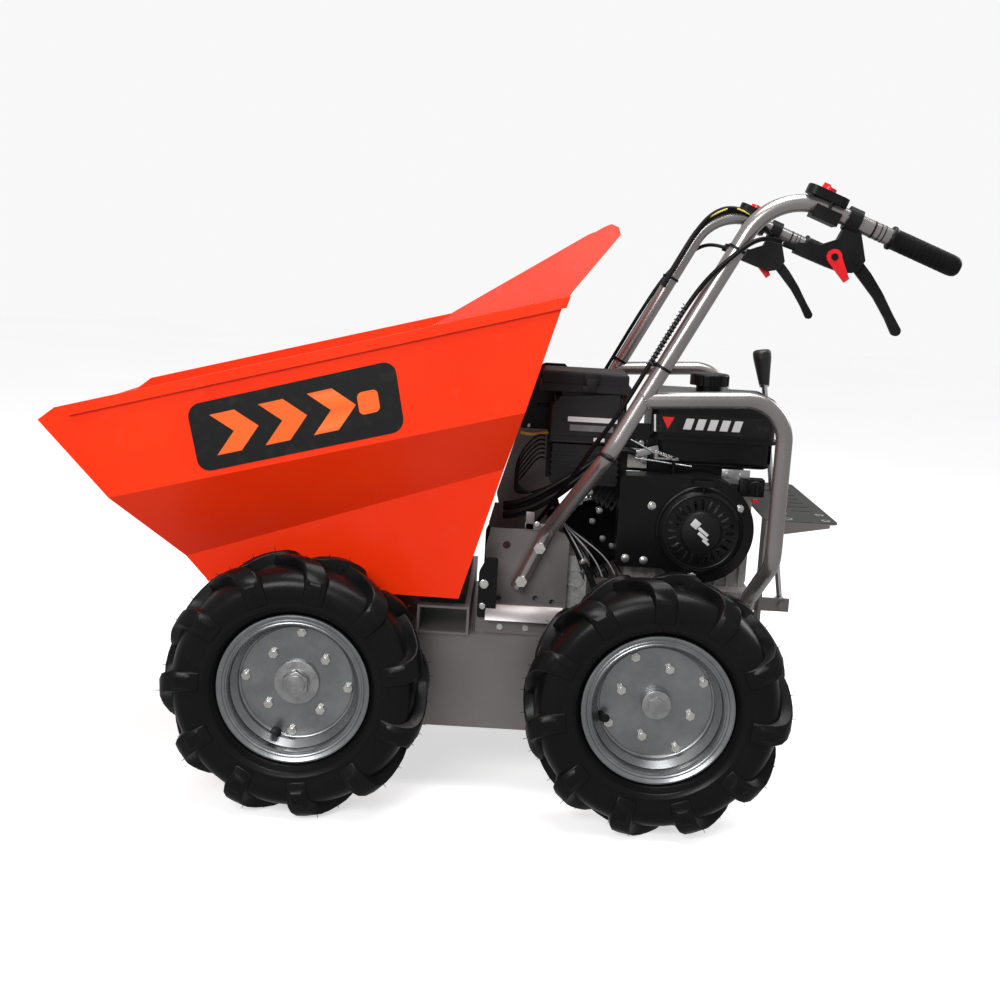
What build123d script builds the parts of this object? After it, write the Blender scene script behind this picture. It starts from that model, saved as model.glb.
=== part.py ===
from build123d import *
import math
import os

# Four-wheel power wheelbarrow. Millimetres, +X forward (towards the skip), +Y to the operator's left, +Z up.
# The model is laid out about the middle of the wheelbase and shifted by ORIGIN_SHIFT when it is written, so
# that the origin is the middle of the overall length and width, on the ground.

# ---------- driving dimensions ----------
ORIGIN_SHIFT = -9.4

WHEELBASE = 559.0
TYRE_R = 206.0
CARCASS_R = 190.0
TYRE_HALF_W = 55.0
WHEEL_Y = 298.0
RIM_FLANGE_R = 117.0
RIM_HALF_W = 32.0
DISC_Y = 289.0
LUGS_PER_SIDE = 12
AXLE_R = 14.0
FRONT_X = WHEELBASE / 2
REAR_X = -WHEELBASE / 2
AXLE_Z = TYRE_R

SHEET = 4.0
CHASSIS_X = (-346.0, 346.0)
CHASSIS_HALF_W = 190.0
CHASSIS_Z = (113.0, 265.0)
UPPER_FRAME_X = (-440.0, 10.0)
UPPER_FRAME_HALF_W = 168.0
UPPER_FRAME_TOP = 294.0
COVER_TOP = CHASSIS_Z[1] + SHEET
DECK_TOP = 343.0
DECK_X = (-436.0, -224.0)
DECK_HALF_W = 140.0

SKIP_SHEET = 3.0
SKIP_BOTTOM_Z = 332.0
SKIP_BOTTOM_REAR_X = 38.0
SKIP_BOTTOM_FRONT_X = 445.0
SKIP_FRONT_SLOPE = 1.053
SKIP_REAR_SLOPE = 3.485
SKIP_HALF_W = 272.0
RIM_PROUD = 6.0
RIM_BAND = 17.0
RIM_REAR = (-102.0, 819.0)
RIM_SLOPE = 0.2706
UPPER_BEND = (582.0, 476.0, 0.264)
MID_BAND_STEEPNESS = 1.456
LOWER_PANEL_FRONT = (480.0, 182.0)
LOWER_PANEL_TAPER = 0.056
NOSE_CORNERS = ((691.0, 591.0), (664.0, 612.5))
HINGE_X = 395.0
HINGE_Z = 309.0
HINGE_PIN_R = 8.0
RUNNING_FIT = 0.06

BEAM_X = (20.0, 104.0)
BEAM_Z = (COVER_TOP, 316.0)
BEAM_HALF_L = 195.0

TUBE_R = 12.5
TUBE_WALL = 2.5
GRIP_R = 15.5
HANDLE_Y = 313.0
HANDLE_FOOT_Y = 134.6
BRACKET_Y = (118.0, 122.0)
HANDLE_PATH = [(-55, HANDLE_FOOT_Y, 338), (-101, HANDLE_FOOT_Y, 438), (-178, HANDLE_Y, 589),
               (-393, HANDLE_Y, 995), (-661, HANDLE_Y, 893.4)]
HANDLE_RADII = [45, 60, 90]
HANDLE_BOLTS = ((-61.0, 353.0), (-88.0, 410.0))
GUARD_PATH = [(-222, HANDLE_Y, 676), (-437, HANDLE_Y, 688), (-436, HANDLE_Y, 440), (-421, 214, 360),
              (-417, 206, 324.0)]
GUARD_RADII = [60, 45, 30]

CRANK_X = -345.0
CRANK_Z = 455.0
RECOIL_Y = (150.0, 172.0)
SHROUD_R = 88.0
DRIVE_PULLEY_R = 32.0
DRIVEN_PULLEY_R = 50.0
BELT_Y = (-102.0, -88.0)
BELT_T = 7.0
INPUT_X = -98.0
INPUT_Z = 362.0
OUTPUT_X = -98.0
OUTPUT_Z = AXLE_Z
SPROCKET_R = 44.0
CHAIN_T = 9.0
REAR_CHAIN_Y = (-40.0, -30.0)
FRONT_CHAIN_Y = (-10.0, 0.0)

LEVER_PIVOT = (-514.0, 893.0)
CATCH_PIVOT = (-482.0, 899.0)
THUMB_AT = -461.0
PERCH_AT = -506.0
GEAR_PIVOT = (-537.0, 281.0)
GEAR_Y = -105.0
CONSOLE_X = (-557.0, -442.0)
CONSOLE_Z = (484.0, 487.0)
CONSOLE_HALF_W = 200.0

CONSOLE_HOLES_X = (-480.0, -540.0)
CONSOLE_HOLES_Y = (-180.0, 130.0, 180.0)
CRANK_R = 12.0
ENGINE_FEET = ((-420.0, -60.0), (-420.0, 78.0), (-250.0, -60.0), (-250.0, 78.0))
TANK_CAP = (-362.0, 4.0)
SWITCH_AT = (-433.0, 525.0)
THROTTLE_STUD = (-300.0, 108.0)
CABLE_R = 3.5
FOOT_SCREWS_X = (-30.0, -72.0, -115.0)
FOOT_SCREW_Z = 281.0
SPARE_BORE = (-34.0, 407.0)
SPARE_BORE_R = 6.5

os.makedirs("parts", exist_ok=True)


# ---------- helpers ----------
def block(x, y, z):
    """Box from three (low, high) pairs."""
    size = Box(x[1] - x[0], y[1] - y[0], z[1] - z[0])
    return Pos((x[0] + x[1]) / 2, (y[0] + y[1]) / 2, (z[0] + z[1]) / 2) * size


def rod_y(x, z, y, r):
    """Cylinder along Y between y[0] and y[1]."""
    return Pos(x, (y[0] + y[1]) / 2, z) * Rot(90, 0, 0) * Cylinder(r, y[1] - y[0])


def rod_z(x, y, z, r):
    return Pos(x, y, (z[0] + z[1]) / 2) * Cylinder(r, z[1] - z[0])


def slab(points, y):
    """Plate outlined in the XZ plane, between y[0] and y[1]."""
    face = Plane.XZ * Polygon(*points, align=None)
    return Pos(0, y[0], 0) * extrude(face, amount=y[1] - y[0], dir=(0, 1, 0))


def rounded_slab(points, y, radius):
    """Plate outlined in the XZ plane with every corner rounded."""
    sketch = Polygon(*points, align=None)
    sketch = fillet(sketch.vertices(), radius)
    return Pos(0, y[0], 0) * extrude(Plane.XZ * sketch, amount=y[1] - y[0], dir=(0, 1, 0))


def profile_x(points, x):
    """Section outlined in the YZ plane, run along X."""
    face = Plane.YZ * Polygon(*points, align=None)
    return Pos(x[0], 0, 0) * extrude(face, amount=x[1] - x[0], dir=(1, 0, 0))


def link(points, radii, y):
    """Flat bar in the XZ plane through the points, with a half-width at each."""
    bar = None
    for (a, b), (ra, rb) in zip(zip(points, points[1:]), zip(radii, radii[1:])):
        ends = (Pos(*a) * Circle(ra)).edges() + (Pos(*b) * Circle(rb)).edges()
        piece = Pos(0, y[0], 0) * extrude(Plane.XZ * make_hull(ends), amount=y[1] - y[0], dir=(0, 1, 0))
        bar = piece if bar is None else bar + piece
    return bar


def route(points, radii):
    return FilletPolyline(*points, radius=radii)


def tube(path, r_out, r_in=0.0):
    face = Circle(r_out) - Circle(r_in) if r_in else Circle(r_out)
    return sweep(Plane(origin=path @ 0, z_dir=path % 0) * face, path=path)


def hexagon_y(x, z, y, across):
    """Hexagon bar along Y; across is its width over flats."""
    face = Plane.XZ * (Pos(x, z) * RegularPolygon(across / math.sqrt(3), 6))
    return Pos(0, y[0], 0) * extrude(face, amount=y[1] - y[0], dir=(0, 1, 0))


def turned(points, x, z):
    """Body of revolution about a Y axis through (x, z), outlined by (radius, y) pairs."""
    return Pos(x, 0, z) * revolve(Polygon(*points, align=None), Axis.Y)


def mirrored(shape):
    return mirror(shape, about=Plane.XZ)


def group(shapes):
    solids = []
    for shape in shapes:
        solids.extend(shape.solids())
    return Compound(children=solids)


def edges_along(shape, direction):
    return [edge for edge in shape.edges() if abs(abs((edge % 0.5).dot(direction)) - 1) < 1e-3]


def volume_of(shape):
    return shape.volume


def largest(shape):
    return max(shape.solids(), key=volume_of)


def outside(point, normal):
    """Everything on the far side of a plane."""
    return Plane(origin=point, z_dir=normal) * Pos(0, 0, 1500) * Box(4000, 4000, 3000)


def write(shape, name):
    export_step(Pos(ORIGIN_SHIFT, 0, 0) * shape, f"parts/{name}.step")


# ---------- chassis ----------
def chassis_channel():
    """Folded channel with closed ends; the axles pass through its sides."""
    x, z, w = CHASSIS_X, CHASSIS_Z, CHASSIS_HALF_W
    tray = block(x, (-w, w), z)
    tray -= block((x[0] + SHEET, x[1] - SHEET), (-w + SHEET, w - SHEET), (z[0] + SHEET, z[1] + 1))
    for axle_x in (FRONT_X, REAR_X):
        tray -= rod_y(axle_x, AXLE_Z, (-w - 1, w + 1), AXLE_R + 6)
    return tray


def upper_frame():
    """Cover plate of the channel with the raised tray that the engine deck and gearbox stand on."""
    cover = block(CHASSIS_X, (-CHASSIS_HALF_W, CHASSIS_HALF_W), (CHASSIS_Z[1], COVER_TOP))
    x, w = UPPER_FRAME_X, UPPER_FRAME_HALF_W
    tray = block(x, (-w, w), (COVER_TOP - SHEET, UPPER_FRAME_TOP))
    tray -= block((x[0] + SHEET, x[1] - SHEET), (-w + SHEET, w - SHEET), (COVER_TOP, UPPER_FRAME_TOP - SHEET))
    frame = cover + tray
    frame -= block((-165, -30), (-70, 30), (CHASSIS_Z[1] - 1, UPPER_FRAME_TOP + 1))
    for side in (-1, 1):
        for screw_x in FOOT_SCREWS_X:
            frame -= rod_y(screw_x, FOOT_SCREW_Z, tuple(sorted((side * 150, side * 170))), 3.2)
    return frame


def engine_deck():
    """Bridge-shaped plate under the engine feet."""
    x, w = DECK_X, DECK_HALF_W
    deck = block(x, (-w, w), (UPPER_FRAME_TOP, DECK_TOP))
    deck -= block((x[0] - 1, x[1] + 1), (-w + SHEET, w - SHEET), (UPPER_FRAME_TOP - 1, DECK_TOP - SHEET))
    return deck


def bracket_plate():
    """Upright plate for one handle, with a foot folded outwards and down over the raised tray."""
    outline = [(-8, 300), (-5, 368), (2, 396), (-7, 434), (-112, 436), (-129, 431), (-137, 418), (-137, 300)]
    plate = slab(outline, BRACKET_Y)
    y = UPPER_FRAME_HALF_W
    foot = [(118, 302), (y, 294.3), (y, 269.3), (y + SHEET, 269.3), (y + SHEET, 299), (122, 308), (118, 308)]
    plate += profile_x(foot, (-137, -8))
    for bolt in HANDLE_BOLTS:
        plate -= rod_y(*bolt, (110, 125), 5.2)
    plate -= rod_y(*SPARE_BORE, (110, 125), SPARE_BORE_R)
    for hole in ((-86, 319), (-114, 314), (-24, 316)):
        plate -= rod_y(*hole, (110, 125), 4.5)
    for screw_x in FOOT_SCREWS_X:
        plate -= rod_y(screw_x, FOOT_SCREW_Z, (160, 180), 3.2)
    return plate


def skip_rest_beam():
    outer = block(BEAM_X, (-BEAM_HALF_L, BEAM_HALF_L), BEAM_Z)
    inner = block((BEAM_X[0] + SHEET, BEAM_X[1] - SHEET), (-BEAM_HALF_L - 1, BEAM_HALF_L + 1),
                  (BEAM_Z[0] + SHEET, BEAM_Z[1] - SHEET))
    beam = outer - inner
    for side in (-1, 1):
        beam -= rod_z(BEAM_X[0] + 42, side * 60, (BEAM_Z[1] - 6, BEAM_Z[1] + 1), 4.2)
    return beam


def rest_pads():
    """Rubber strips under the skip floor, each held by a stud through the beam's top wall."""
    pads = []
    for side in (-1, 1):
        y = tuple(sorted((side * 30, side * 175)))
        pad = block((BEAM_X[0] + 8, BEAM_X[1] - 8), y, (BEAM_Z[1], SKIP_BOTTOM_Z - 0.5))
        stud = rod_z(BEAM_X[0] + 42, side * 60, (BEAM_Z[1] - 14, BEAM_Z[1]), 4.0)
        pads.append(pad + stud)
    return group(pads)


def hinge_brackets():
    """Two cheek plates on the front of the cover, and the pin that the skip turns on."""
    cheeks = []
    for side in (-1, 1):
        y = tuple(sorted((side * 152, side * 160)))
        cheek = slab([(250, COVER_TOP), (334, COVER_TOP), (400, 295), (380, 322), (330, 300)], y)
        cheek += rod_y(HINGE_X, HINGE_Z, y, 17)
        cheek -= rod_y(HINGE_X, HINGE_Z, (-200, 200), HINGE_PIN_R)
        cheeks.append(cheek)
    pin = rod_y(HINGE_X, HINGE_Z, (-166, 166), HINGE_PIN_R)
    return group(cheeks + [pin])


def rear_supports():
    """Cross bar behind the engine, two legs for the console and the arm that carries the gear lever."""
    bar = block((-436, -400), (-216, 216), (UPPER_FRAME_TOP, 324))
    bar -= block((-433, -403), (-213, 213), (UPPER_FRAME_TOP + 3, 321))
    bar -= block((-437, -399), (-DECK_HALF_W - 0.2, DECK_HALF_W + 0.2), (UPPER_FRAME_TOP - 1, 330))
    legs = []
    for side in (-1, 1):
        y = tuple(sorted((side * 160, side * 196)))
        leg = block((-447, -442), y, (298, CONSOLE_Z[0]))
        leg += block((-472, -442), y, (CONSOLE_Z[0] - 4, CONSOLE_Z[0]))
        leg += block((-447, -436), y, (298, 320))
        legs.append(leg)
    arm = block((-550, -440), (GEAR_Y + 14, GEAR_Y + 20), (269, 293))
    arm -= rod_y(*GEAR_PIVOT, (GEAR_Y - 30, GEAR_Y + 30), 5.0)
    arm += block((-446, -440), (GEAR_Y + 14, GEAR_Y + 60), (269, 293))
    pivot = rod_y(*GEAR_PIVOT, (GEAR_Y - 14, GEAR_Y + 24), 5.0)
    pivot += hexagon_y(*GEAR_PIVOT, (GEAR_Y + 20, GEAR_Y + 27), 15)
    pivot += hexagon_y(*GEAR_PIVOT, (GEAR_Y - 19, GEAR_Y - 13), 15)
    return group([bar] + legs + [arm, pivot])


# ---------- handles and guards ----------
def handle_tube():
    pipe = tube(route(HANDLE_PATH, HANDLE_RADII), TUBE_R, TUBE_R - TUBE_WALL)
    for bolt in HANDLE_BOLTS:
        pipe -= rod_y(*bolt, (100, 160), 5.2)
    return pipe


def guard_tube():
    """Bent guard, coped to the handle tube at its upper end and standing on the cross bar."""
    pipe = tube(route(GUARD_PATH, GUARD_RADII), TUBE_R, TUBE_R - TUBE_WALL)
    pipe -= tube(route(HANDLE_PATH, HANDLE_RADII), TUBE_R)
    pipe -= block((-500, -380), (150, 260), (300, 324))
    return largest(pipe)


def handle_frame(x):
    """Plane on the straight end of the handle tube at x, its normal along the tube to the rear."""
    (xa, y, za), (xb, _, zb) = HANDLE_PATH[3], HANDLE_PATH[4]
    length = math.hypot(xb - xa, zb - za)
    along = ((xb - xa) / length, 0, (zb - za) / length)
    z = za + (x - xa) * (zb - za) / (xb - xa)
    return Plane(origin=(x, y, z), x_dir=(0, 1, 0), z_dir=along)


def grips():
    """Rubber grip with ribs, over the end of the handle tube."""
    plane = handle_frame(-561)
    length = 113
    tube_end = (HANDLE_PATH[4][0] + 561) / plane.z_dir.X
    body = plane * Pos(0, 0, length / 2) * Cylinder(GRIP_R, length)
    for i in range(9):
        body -= plane * Pos(0, 0, 20 + 8 * i) * (Cylinder(GRIP_R + 1, 2) - Cylinder(GRIP_R - 0.9, 2))
    body += plane * Pos(0, 0, 3) * Cylinder(GRIP_R + 2, 6)
    body -= plane * Pos(0, 0, (tube_end - 1) / 2) * Cylinder(TUBE_R, tube_end + 1)
    return group([body, mirrored(body)])


def rear_console():
    """Console plate behind the engine: gate slot for the gear lever, slots, holes and folded side flanges."""
    x, z, w = CONSOLE_X, CONSOLE_Z, CONSOLE_HALF_W
    plate = block(x, (-w, w), z)
    plate = fillet(plate.edges().filter_by(Axis.Z).sort_by(Axis.X)[:2], 14)
    side = slab([(x[1], z[0]), (x[0] + 14, z[0]), (x[0] + 14, z[0] - 5), (x[1], z[0] - 24)], (w - 3, w))
    plate += side + mirrored(side)
    plate -= block((-538, -474), (GEAR_Y - 7, GEAR_Y + 7), (z[0] - 1, z[1] + 1))
    for y in (-160, -60, -20, 20, 60, 100):
        plate -= block((-535, -500), (y - 4, y + 4), (z[0] - 1, z[1] + 1))
    for y in CONSOLE_HOLES_Y:
        for hole_x in CONSOLE_HOLES_X:
            plate -= rod_z(hole_x, y, (z[0] - 1, z[1] + 1), 4.25)
    return plate


# ---------- running gear ----------
def tyre():
    """Hollow carcass with two rows of slanted lugs that wrap over the shoulders."""
    half = [(104.3, 24.5), (117.6, 26.8), (120, 37), (131, 50), (150, 55), (168, 53), (181, 44), (188, 26),
            (CARCASS_R, 0)]
    inner = [(100, 15), (114, 17), (121, 30), (133, 42), (150, 46), (165, 44), (174, 36), (179, 20), (180, 0)]
    outline = half + [(r, -y) for r, y in reversed(half[:-1])]
    hollow = inner + [(r, -y) for r, y in reversed(inner[:-1])]
    carcass = turned(outline, 0, 0) - turned(hollow, 0, 0)
    w = TYRE_HALF_W
    crest = [(150, w - 2), (172, w), (192, w - 3), (201, 40), (TYRE_R, 26)]
    envelope = turned([(140, -40)] + [(140, 40)] + crest + [(r, -y) for r, y in reversed(crest)], 0, 0)
    bars = []
    pitch = 360 / LUGS_PER_SIDE
    for i in range(LUGS_PER_SIDE):
        bar = Pos(186, 30, 0) * Rot(32, 0, 0) * Box(60, 66, 23)
        bars.append(Rot(0, i * pitch, 0) * bar)
        bar = Pos(186, -30, 0) * Rot(-32, 0, 0) * Box(60, 66, 23)
        bars.append(Rot(0, (i + 0.5) * pitch, 0) * bar)
    lugs = envelope.intersect(Compound(children=bars))
    lugs = lugs - turned(outline, 0, 0)
    body = carcass.fuse(*lugs.solids())
    return largest(body)


def rim():
    """Pressed steel rim, centred on its own width, with the disc set in from the outer flange."""
    w = RIM_HALF_W
    d = DISC_Y - WHEEL_Y
    outer = [(RIM_FLANGE_R, w), (RIM_FLANGE_R, w - 4), (104, w - 6), (103.5, 15), (94, 6), (94, -12),
             (103.5, -20), (104, -w + 6), (RIM_FLANGE_R, -w + 4), (RIM_FLANGE_R, -w)]
    inner = [(101, -w + 2), (100.5, -20), (91, -13), (91, d - 3), (24, d - 3), (24, d), (91, d), (91, 4),
             (100.5, 14), (101, w - 2)]
    body = turned(outer + inner, 0, 0)
    for cx, cz in HUB_BOLTS + RIM_BOLTS:
        body -= rod_y(cx, cz, (d - 4, d + 1), 4.7)
    return body


def circle_of(radius, count, start):
    angles = [math.radians(start + 360 * i / count) for i in range(count)]
    return [(radius * math.cos(a), radius * math.sin(a)) for a in angles]


HUB_BOLTS = circle_of(57.5, 4, 45)
RIM_BOLTS = circle_of(80, 4, 0)


def wheel_at(shape, axle_x, turn):
    left = Pos(axle_x, WHEEL_Y, AXLE_Z) * Rot(0, turn, 0) * shape
    return group([left, mirrored(left)])


def wheel_bolts(axle_x, turn):
    """Hub bolts and rim bolts of both wheels, and a valve stub in each rim."""
    d = DISC_Y - WHEEL_Y
    pieces = []
    for cx, cz in HUB_BOLTS:
        bolt = rod_y(cx, cz, (d - 12, d + 9), 4.5) + hexagon_y(cx, cz, (d + 0.0, d + 6), 13)
        pieces.append(bolt)
    for cx, cz in RIM_BOLTS:
        bolt = rod_y(cx, cz, (d - 9, d + 8), 4.5) + hexagon_y(cx, cz, (d + 0.0, d + 5), 13)
        bolt += hexagon_y(cx, cz, (d - 9, d - 3), 13)
        pieces.append(bolt)
    return wheel_at(group(pieces), axle_x, turn)


def axle(axle_x, chain_y, nut_r, flange_r, turn):
    """Shaft with its sprocket and both wheel hubs."""
    shaft = rod_y(0, 0, (-DISC_Y - 4, DISC_Y + 4), AXLE_R)
    mid = (chain_y[0] + chain_y[1]) / 2
    shaft += rod_y(0, 0, (mid - 3, mid + 3), SPROCKET_R)
    shaft += rod_y(0, 0, (mid - 14, mid + 14), 24)
    hub = rod_y(0, 0, (236, DISC_Y - 9), 22) + rod_y(0, 0, (DISC_Y - 9, DISC_Y - 3), 70)
    hub += rod_y(0, 0, (DISC_Y - 3, DISC_Y), 23.9)
    hub += rod_y(0, 0, (DISC_Y, DISC_Y + 4), flange_r) + rod_y(0, 0, (DISC_Y, DISC_Y + 15), nut_r)
    for cx, cz in HUB_BOLTS:
        hub -= rod_y(cx, cz, (DISC_Y - 13, DISC_Y + 10), 4.7)
    hub = Rot(0, turn, 0) * hub
    return Pos(axle_x, 0, AXLE_Z) * (shaft + hub + mirrored(hub))


def axle_bearings():
    """Flanged bearing units bolted to the outside of the channel."""
    units = []
    y0 = CHASSIS_HALF_W
    for axle_x in (FRONT_X, REAR_X):
        unit = rounded_slab([(-38, -38), (38, -38), (38, 38), (-38, 38)], (y0, y0 + 8), 12)
        unit += rod_y(0, 0, (y0 + 8, y0 + 24), 29)
        unit -= rod_y(0, 0, (y0 - 1, y0 + 25), AXLE_R + RUNNING_FIT)
        unit = Pos(axle_x, 0, AXLE_Z) * unit
        units += [unit, mirrored(unit)]
    return group(units)


def loop(ax, az, ar, bx, bz, br, thickness, y):
    """Closed belt or chain band round two circles."""
    def hull(grow):
        ends = (Pos(ax, az) * Circle(ar + grow)).edges() + (Pos(bx, bz) * Circle(br + grow)).edges()
        return make_hull(ends)
    face = Plane.XZ * (hull(thickness) - hull(0.4))
    return Pos(0, y[0], 0) * extrude(face, amount=y[1] - y[0], dir=(0, 1, 0))


def drive_chains():
    r = SPROCKET_R
    rear = loop(OUTPUT_X, OUTPUT_Z, r, REAR_X, AXLE_Z, r, CHAIN_T, REAR_CHAIN_Y)
    front = loop(OUTPUT_X, OUTPUT_Z, r, FRONT_X, AXLE_Z, r, CHAIN_T, FRONT_CHAIN_Y)
    return group([rear, front])


def output_shaft():
    """Gearbox output shaft with the two sprockets that drive the axle chains."""
    shaft = rod_y(OUTPUT_X, OUTPUT_Z, (-66, 26), 12)
    for y in (REAR_CHAIN_Y, FRONT_CHAIN_Y):
        mid = (y[0] + y[1]) / 2
        shaft += rod_y(OUTPUT_X, OUTPUT_Z, (mid - 3, mid + 3), SPROCKET_R)
        shaft += rod_y(OUTPUT_X, OUTPUT_Z, (mid - 6, mid + 6), 22)
    return shaft


def gearbox_housing():
    """Cast case on the raised tray, with two cheeks reaching down to the output shaft."""
    case = rounded_slab([(-170, UPPER_FRAME_TOP), (-22, UPPER_FRAME_TOP), (-22, 392), (-170, 392)], (-78, 108), 10)
    for y in (-60, -30, 0, 30, 60, 90):
        case += slab([(-174, 300), (-18, 300), (-18, 384), (-174, 384)], (y, y + 5))
    case -= block((-155, -40), (-52, 16), (UPPER_FRAME_TOP - 1, 330))
    for y in ((-66, -54), (18, 28)):
        cheek = slab([(-126, 160), (-70, 160), (-60, 300), (-136, 300)], y)
        case += cheek
    case -= rod_y(OUTPUT_X, OUTPUT_Z, (-80, 40), 12 + RUNNING_FIT)
    case -= rod_y(INPUT_X, INPUT_Z, (-90, -20), 10 + RUNNING_FIT)
    return case


def driven_pulley():
    shaft = rod_y(INPUT_X, INPUT_Z, (-105.5, -22), 10)
    return shaft + grooved_pulley(INPUT_X, INPUT_Z, DRIVEN_PULLEY_R)


def grooved_pulley(x, z, r):
    y0, y1 = BELT_Y
    wheel = rod_y(x, z, (y0 - 2.5, y1 + 2.5), r + BELT_T + 2)
    return wheel - (rod_y(x, z, (y0 - 0.5, y1 + 0.5), r + BELT_T + 5) - rod_y(x, z, (y0 - 1, y1 + 1), r))


def drive_belt():
    return loop(CRANK_X, CRANK_Z, DRIVE_PULLEY_R, INPUT_X, INPUT_Z, DRIVEN_PULLEY_R, BELT_T, BELT_Y)


def belt_guard():
    """Sheet cover over the belt: a band round both pulleys, closed on the outside."""
    def hull(grow):
        ends = (Pos(CRANK_X, CRANK_Z) * Circle(48 + grow)).edges()
        ends += (Pos(INPUT_X, INPUT_Z) * Circle(64 + grow)).edges()
        return make_hull(ends)
    band = extrude(Plane.XZ * (hull(2) - hull(0)), amount=28, dir=(0, 1, 0))
    face = extrude(Plane.XZ * hull(2), amount=2, dir=(0, 1, 0))
    return Pos(0, -109.5, 0) * (band + face)


# ---------- skip ----------
def skip_volume(inset, top_gap=0.0):
    """Space bounded by the skip's panels, all moved inwards by inset."""
    low = SKIP_BOTTOM_Z + inset
    body = block((-400, 900), (-SKIP_HALF_W + inset, SKIP_HALF_W - inset), (low, 1100))
    f, r = SKIP_FRONT_SLOPE, SKIP_REAR_SLOPE
    fl, rl = math.hypot(1, f), math.hypot(1, r)
    body -= outside((SKIP_BOTTOM_FRONT_X - inset * fl / f, 0, SKIP_BOTTOM_Z), (f, 0, -1))
    body -= outside((SKIP_BOTTOM_REAR_X + inset * rl / r, 0, SKIP_BOTTOM_Z), (-r, 0, -1))
    body -= outside((RIM_REAR[0], 0, RIM_REAR[1] + top_gap), (RIM_SLOPE, 0, 1))
    (xa, za), (xb, zb) = NOSE_CORNERS
    body -= outside((xa, 0, za + top_gap), (zb - za, 0, xa - xb))
    bx, bz, slope = UPPER_BEND
    px, py = LOWER_PANEL_FRONT
    m = MID_BAND_STEEPNESS
    mid_normal = Vector(-slope, m, -1).normalized()
    low_normal = Vector(LOWER_PANEL_TAPER, 1, 0).normalized()
    mid_point = Vector(bx, SKIP_HALF_W, bz) - mid_normal * inset
    low_point = Vector(px, py, bz) - low_normal * inset
    corner = outside(mid_point, mid_normal).intersect(outside(low_point, low_normal))
    return body - corner - mirrored(corner)


def skip_tub():
    """Folded sheet tub with a band folded outwards along the sides and the rear of its mouth."""
    tub = skip_volume(0) - skip_volume(SKIP_SHEET, 50)
    rim = rim_solid(RIM_PROUD) - skip_volume(0, 50)
    body = tub + rim
    return largest(body)


def rim_top(x):
    """Height of the skip's sloping rim line."""
    return RIM_REAR[1] - RIM_SLOPE * (x - RIM_REAR[0])


def rim_solid(proud):
    w = SKIP_HALF_W + proud
    x1 = 641.0
    x0 = RIM_REAR[0] - proud - 1
    outline = [(x0, rim_top(x0)), (x1, rim_top(x1)), (x1, rim_top(x1) - RIM_BAND), (x0 + 5, rim_top(x0) - RIM_BAND)]
    return slab(outline, (-w, w))


def splash_guard():
    """Plate leaning back over the rear rim, with a gusset down each side."""
    foot, tip = (-104.0, 821.0), (-168.0, 921.0)
    dx, dz = 3 / math.hypot(100, 64) * 100, 3 / math.hypot(100, 64) * 64
    rest = rim_top(foot[0])
    plate = slab([(foot[0], rest), tip, (tip[0] + dx, tip[1] + dz), (foot[0] + dx + 1, rest - 0.9)], (-262, 262))
    points = [(91, rim_top(91)), (90, rim_top(90) + 3), (-152, 925), (-163, 930), (-174, 926), (-178, 915),
              (-112, 828), (-108, rim_top(-108))]
    gusset = slab(points, (262, 265))
    return plate + gusset + mirrored(gusset)


def skip_lugs():
    """Two lugs welded under the floor, turning on the hinge pin."""
    lugs = []
    for side in (-1, 1):
        y = tuple(sorted((side * 138, side * 150)))
        lug = slab([(350, SKIP_BOTTOM_Z), (436, SKIP_BOTTOM_Z), (HINGE_X + 14, HINGE_Z - 10),
                    (HINGE_X - 14, HINGE_Z - 10)], y)
        lug += rod_y(HINGE_X, HINGE_Z, y, 16)
        lugs.append(lug - rod_y(HINGE_X, HINGE_Z, (-200, 200), HINGE_PIN_R + RUNNING_FIT))
    return group(lugs)


# ---------- engine ----------
def engine_block():
    """Crankcase casting with ribs, four feet and the drive-side cover."""
    case = rounded_slab([(-436, DECK_TOP + 8), (-232, DECK_TOP + 8), (-232, 470), (-275, 532), (-412, 532),
                         (-436, 500)], (-74, 92), 14)
    for x in range(-425, -239, 20):
        case += block((x - 2, x + 2), (-80, 98), (DECK_TOP + 8, 500))
    case -= rod_y(CRANK_X, CRANK_Z, (92, 99), 80)
    foot = rounded_slab([(-440, DECK_TOP), (-228, DECK_TOP), (-228, DECK_TOP + 10), (-440, DECK_TOP + 10)],
                        (-80, 98), 3)
    case += foot
    case -= rod_y(CRANK_X, CRANK_Z, (-90, 110), CRANK_R + RUNNING_FIT)
    case -= rod_y(CRANK_X, CRANK_Z, (-50, 70), 62)
    for x, y in ENGINE_FEET:
        case -= rod_z(x, y, (DECK_TOP - 1, 400), 4.6)
        case -= rod_z(x, y, (DECK_TOP + 10, 384), 10)
    for x in (-300, -410):
        case += block((x - 12, x + 12), (-60, 60), (500, 549))
    return case - rod_y(CRANK_X, CRANK_Z, (-50, 70), 62)


def cylinder_frame():
    """Plane square to the cylinder, inclined 25 degrees above the horizontal towards the front."""
    tilt = math.radians(25)
    return Plane(origin=(CRANK_X, -12, CRANK_Z), x_dir=(0, 1, 0), z_dir=(math.cos(tilt), 0, math.sin(tilt)))


def cylinder():
    """Cylinder and head with cooling fins square to the bore."""
    plane = cylinder_frame()
    barrel = plane * Pos(0, 0, 156) * Box(84, 84, 78)
    for i in range(8):
        barrel += plane * Pos(0, 0, 126 + 9 * i) * Box(104, 108, 3)
    return barrel - engine_block_envelope()


def engine_block_envelope():
    return block((-440, -229), (-80, 98), (DECK_TOP, 533)) + rod_y(CRANK_X, CRANK_Z, (92, 160), SHROUD_R)


def head_cover():
    plane = cylinder_frame()
    cover = plane * Pos(0, 0, 205) * Box(88, 92, 20)
    cover = fillet(edges_along(cover, plane.z_dir), 14)
    return cover


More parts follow.
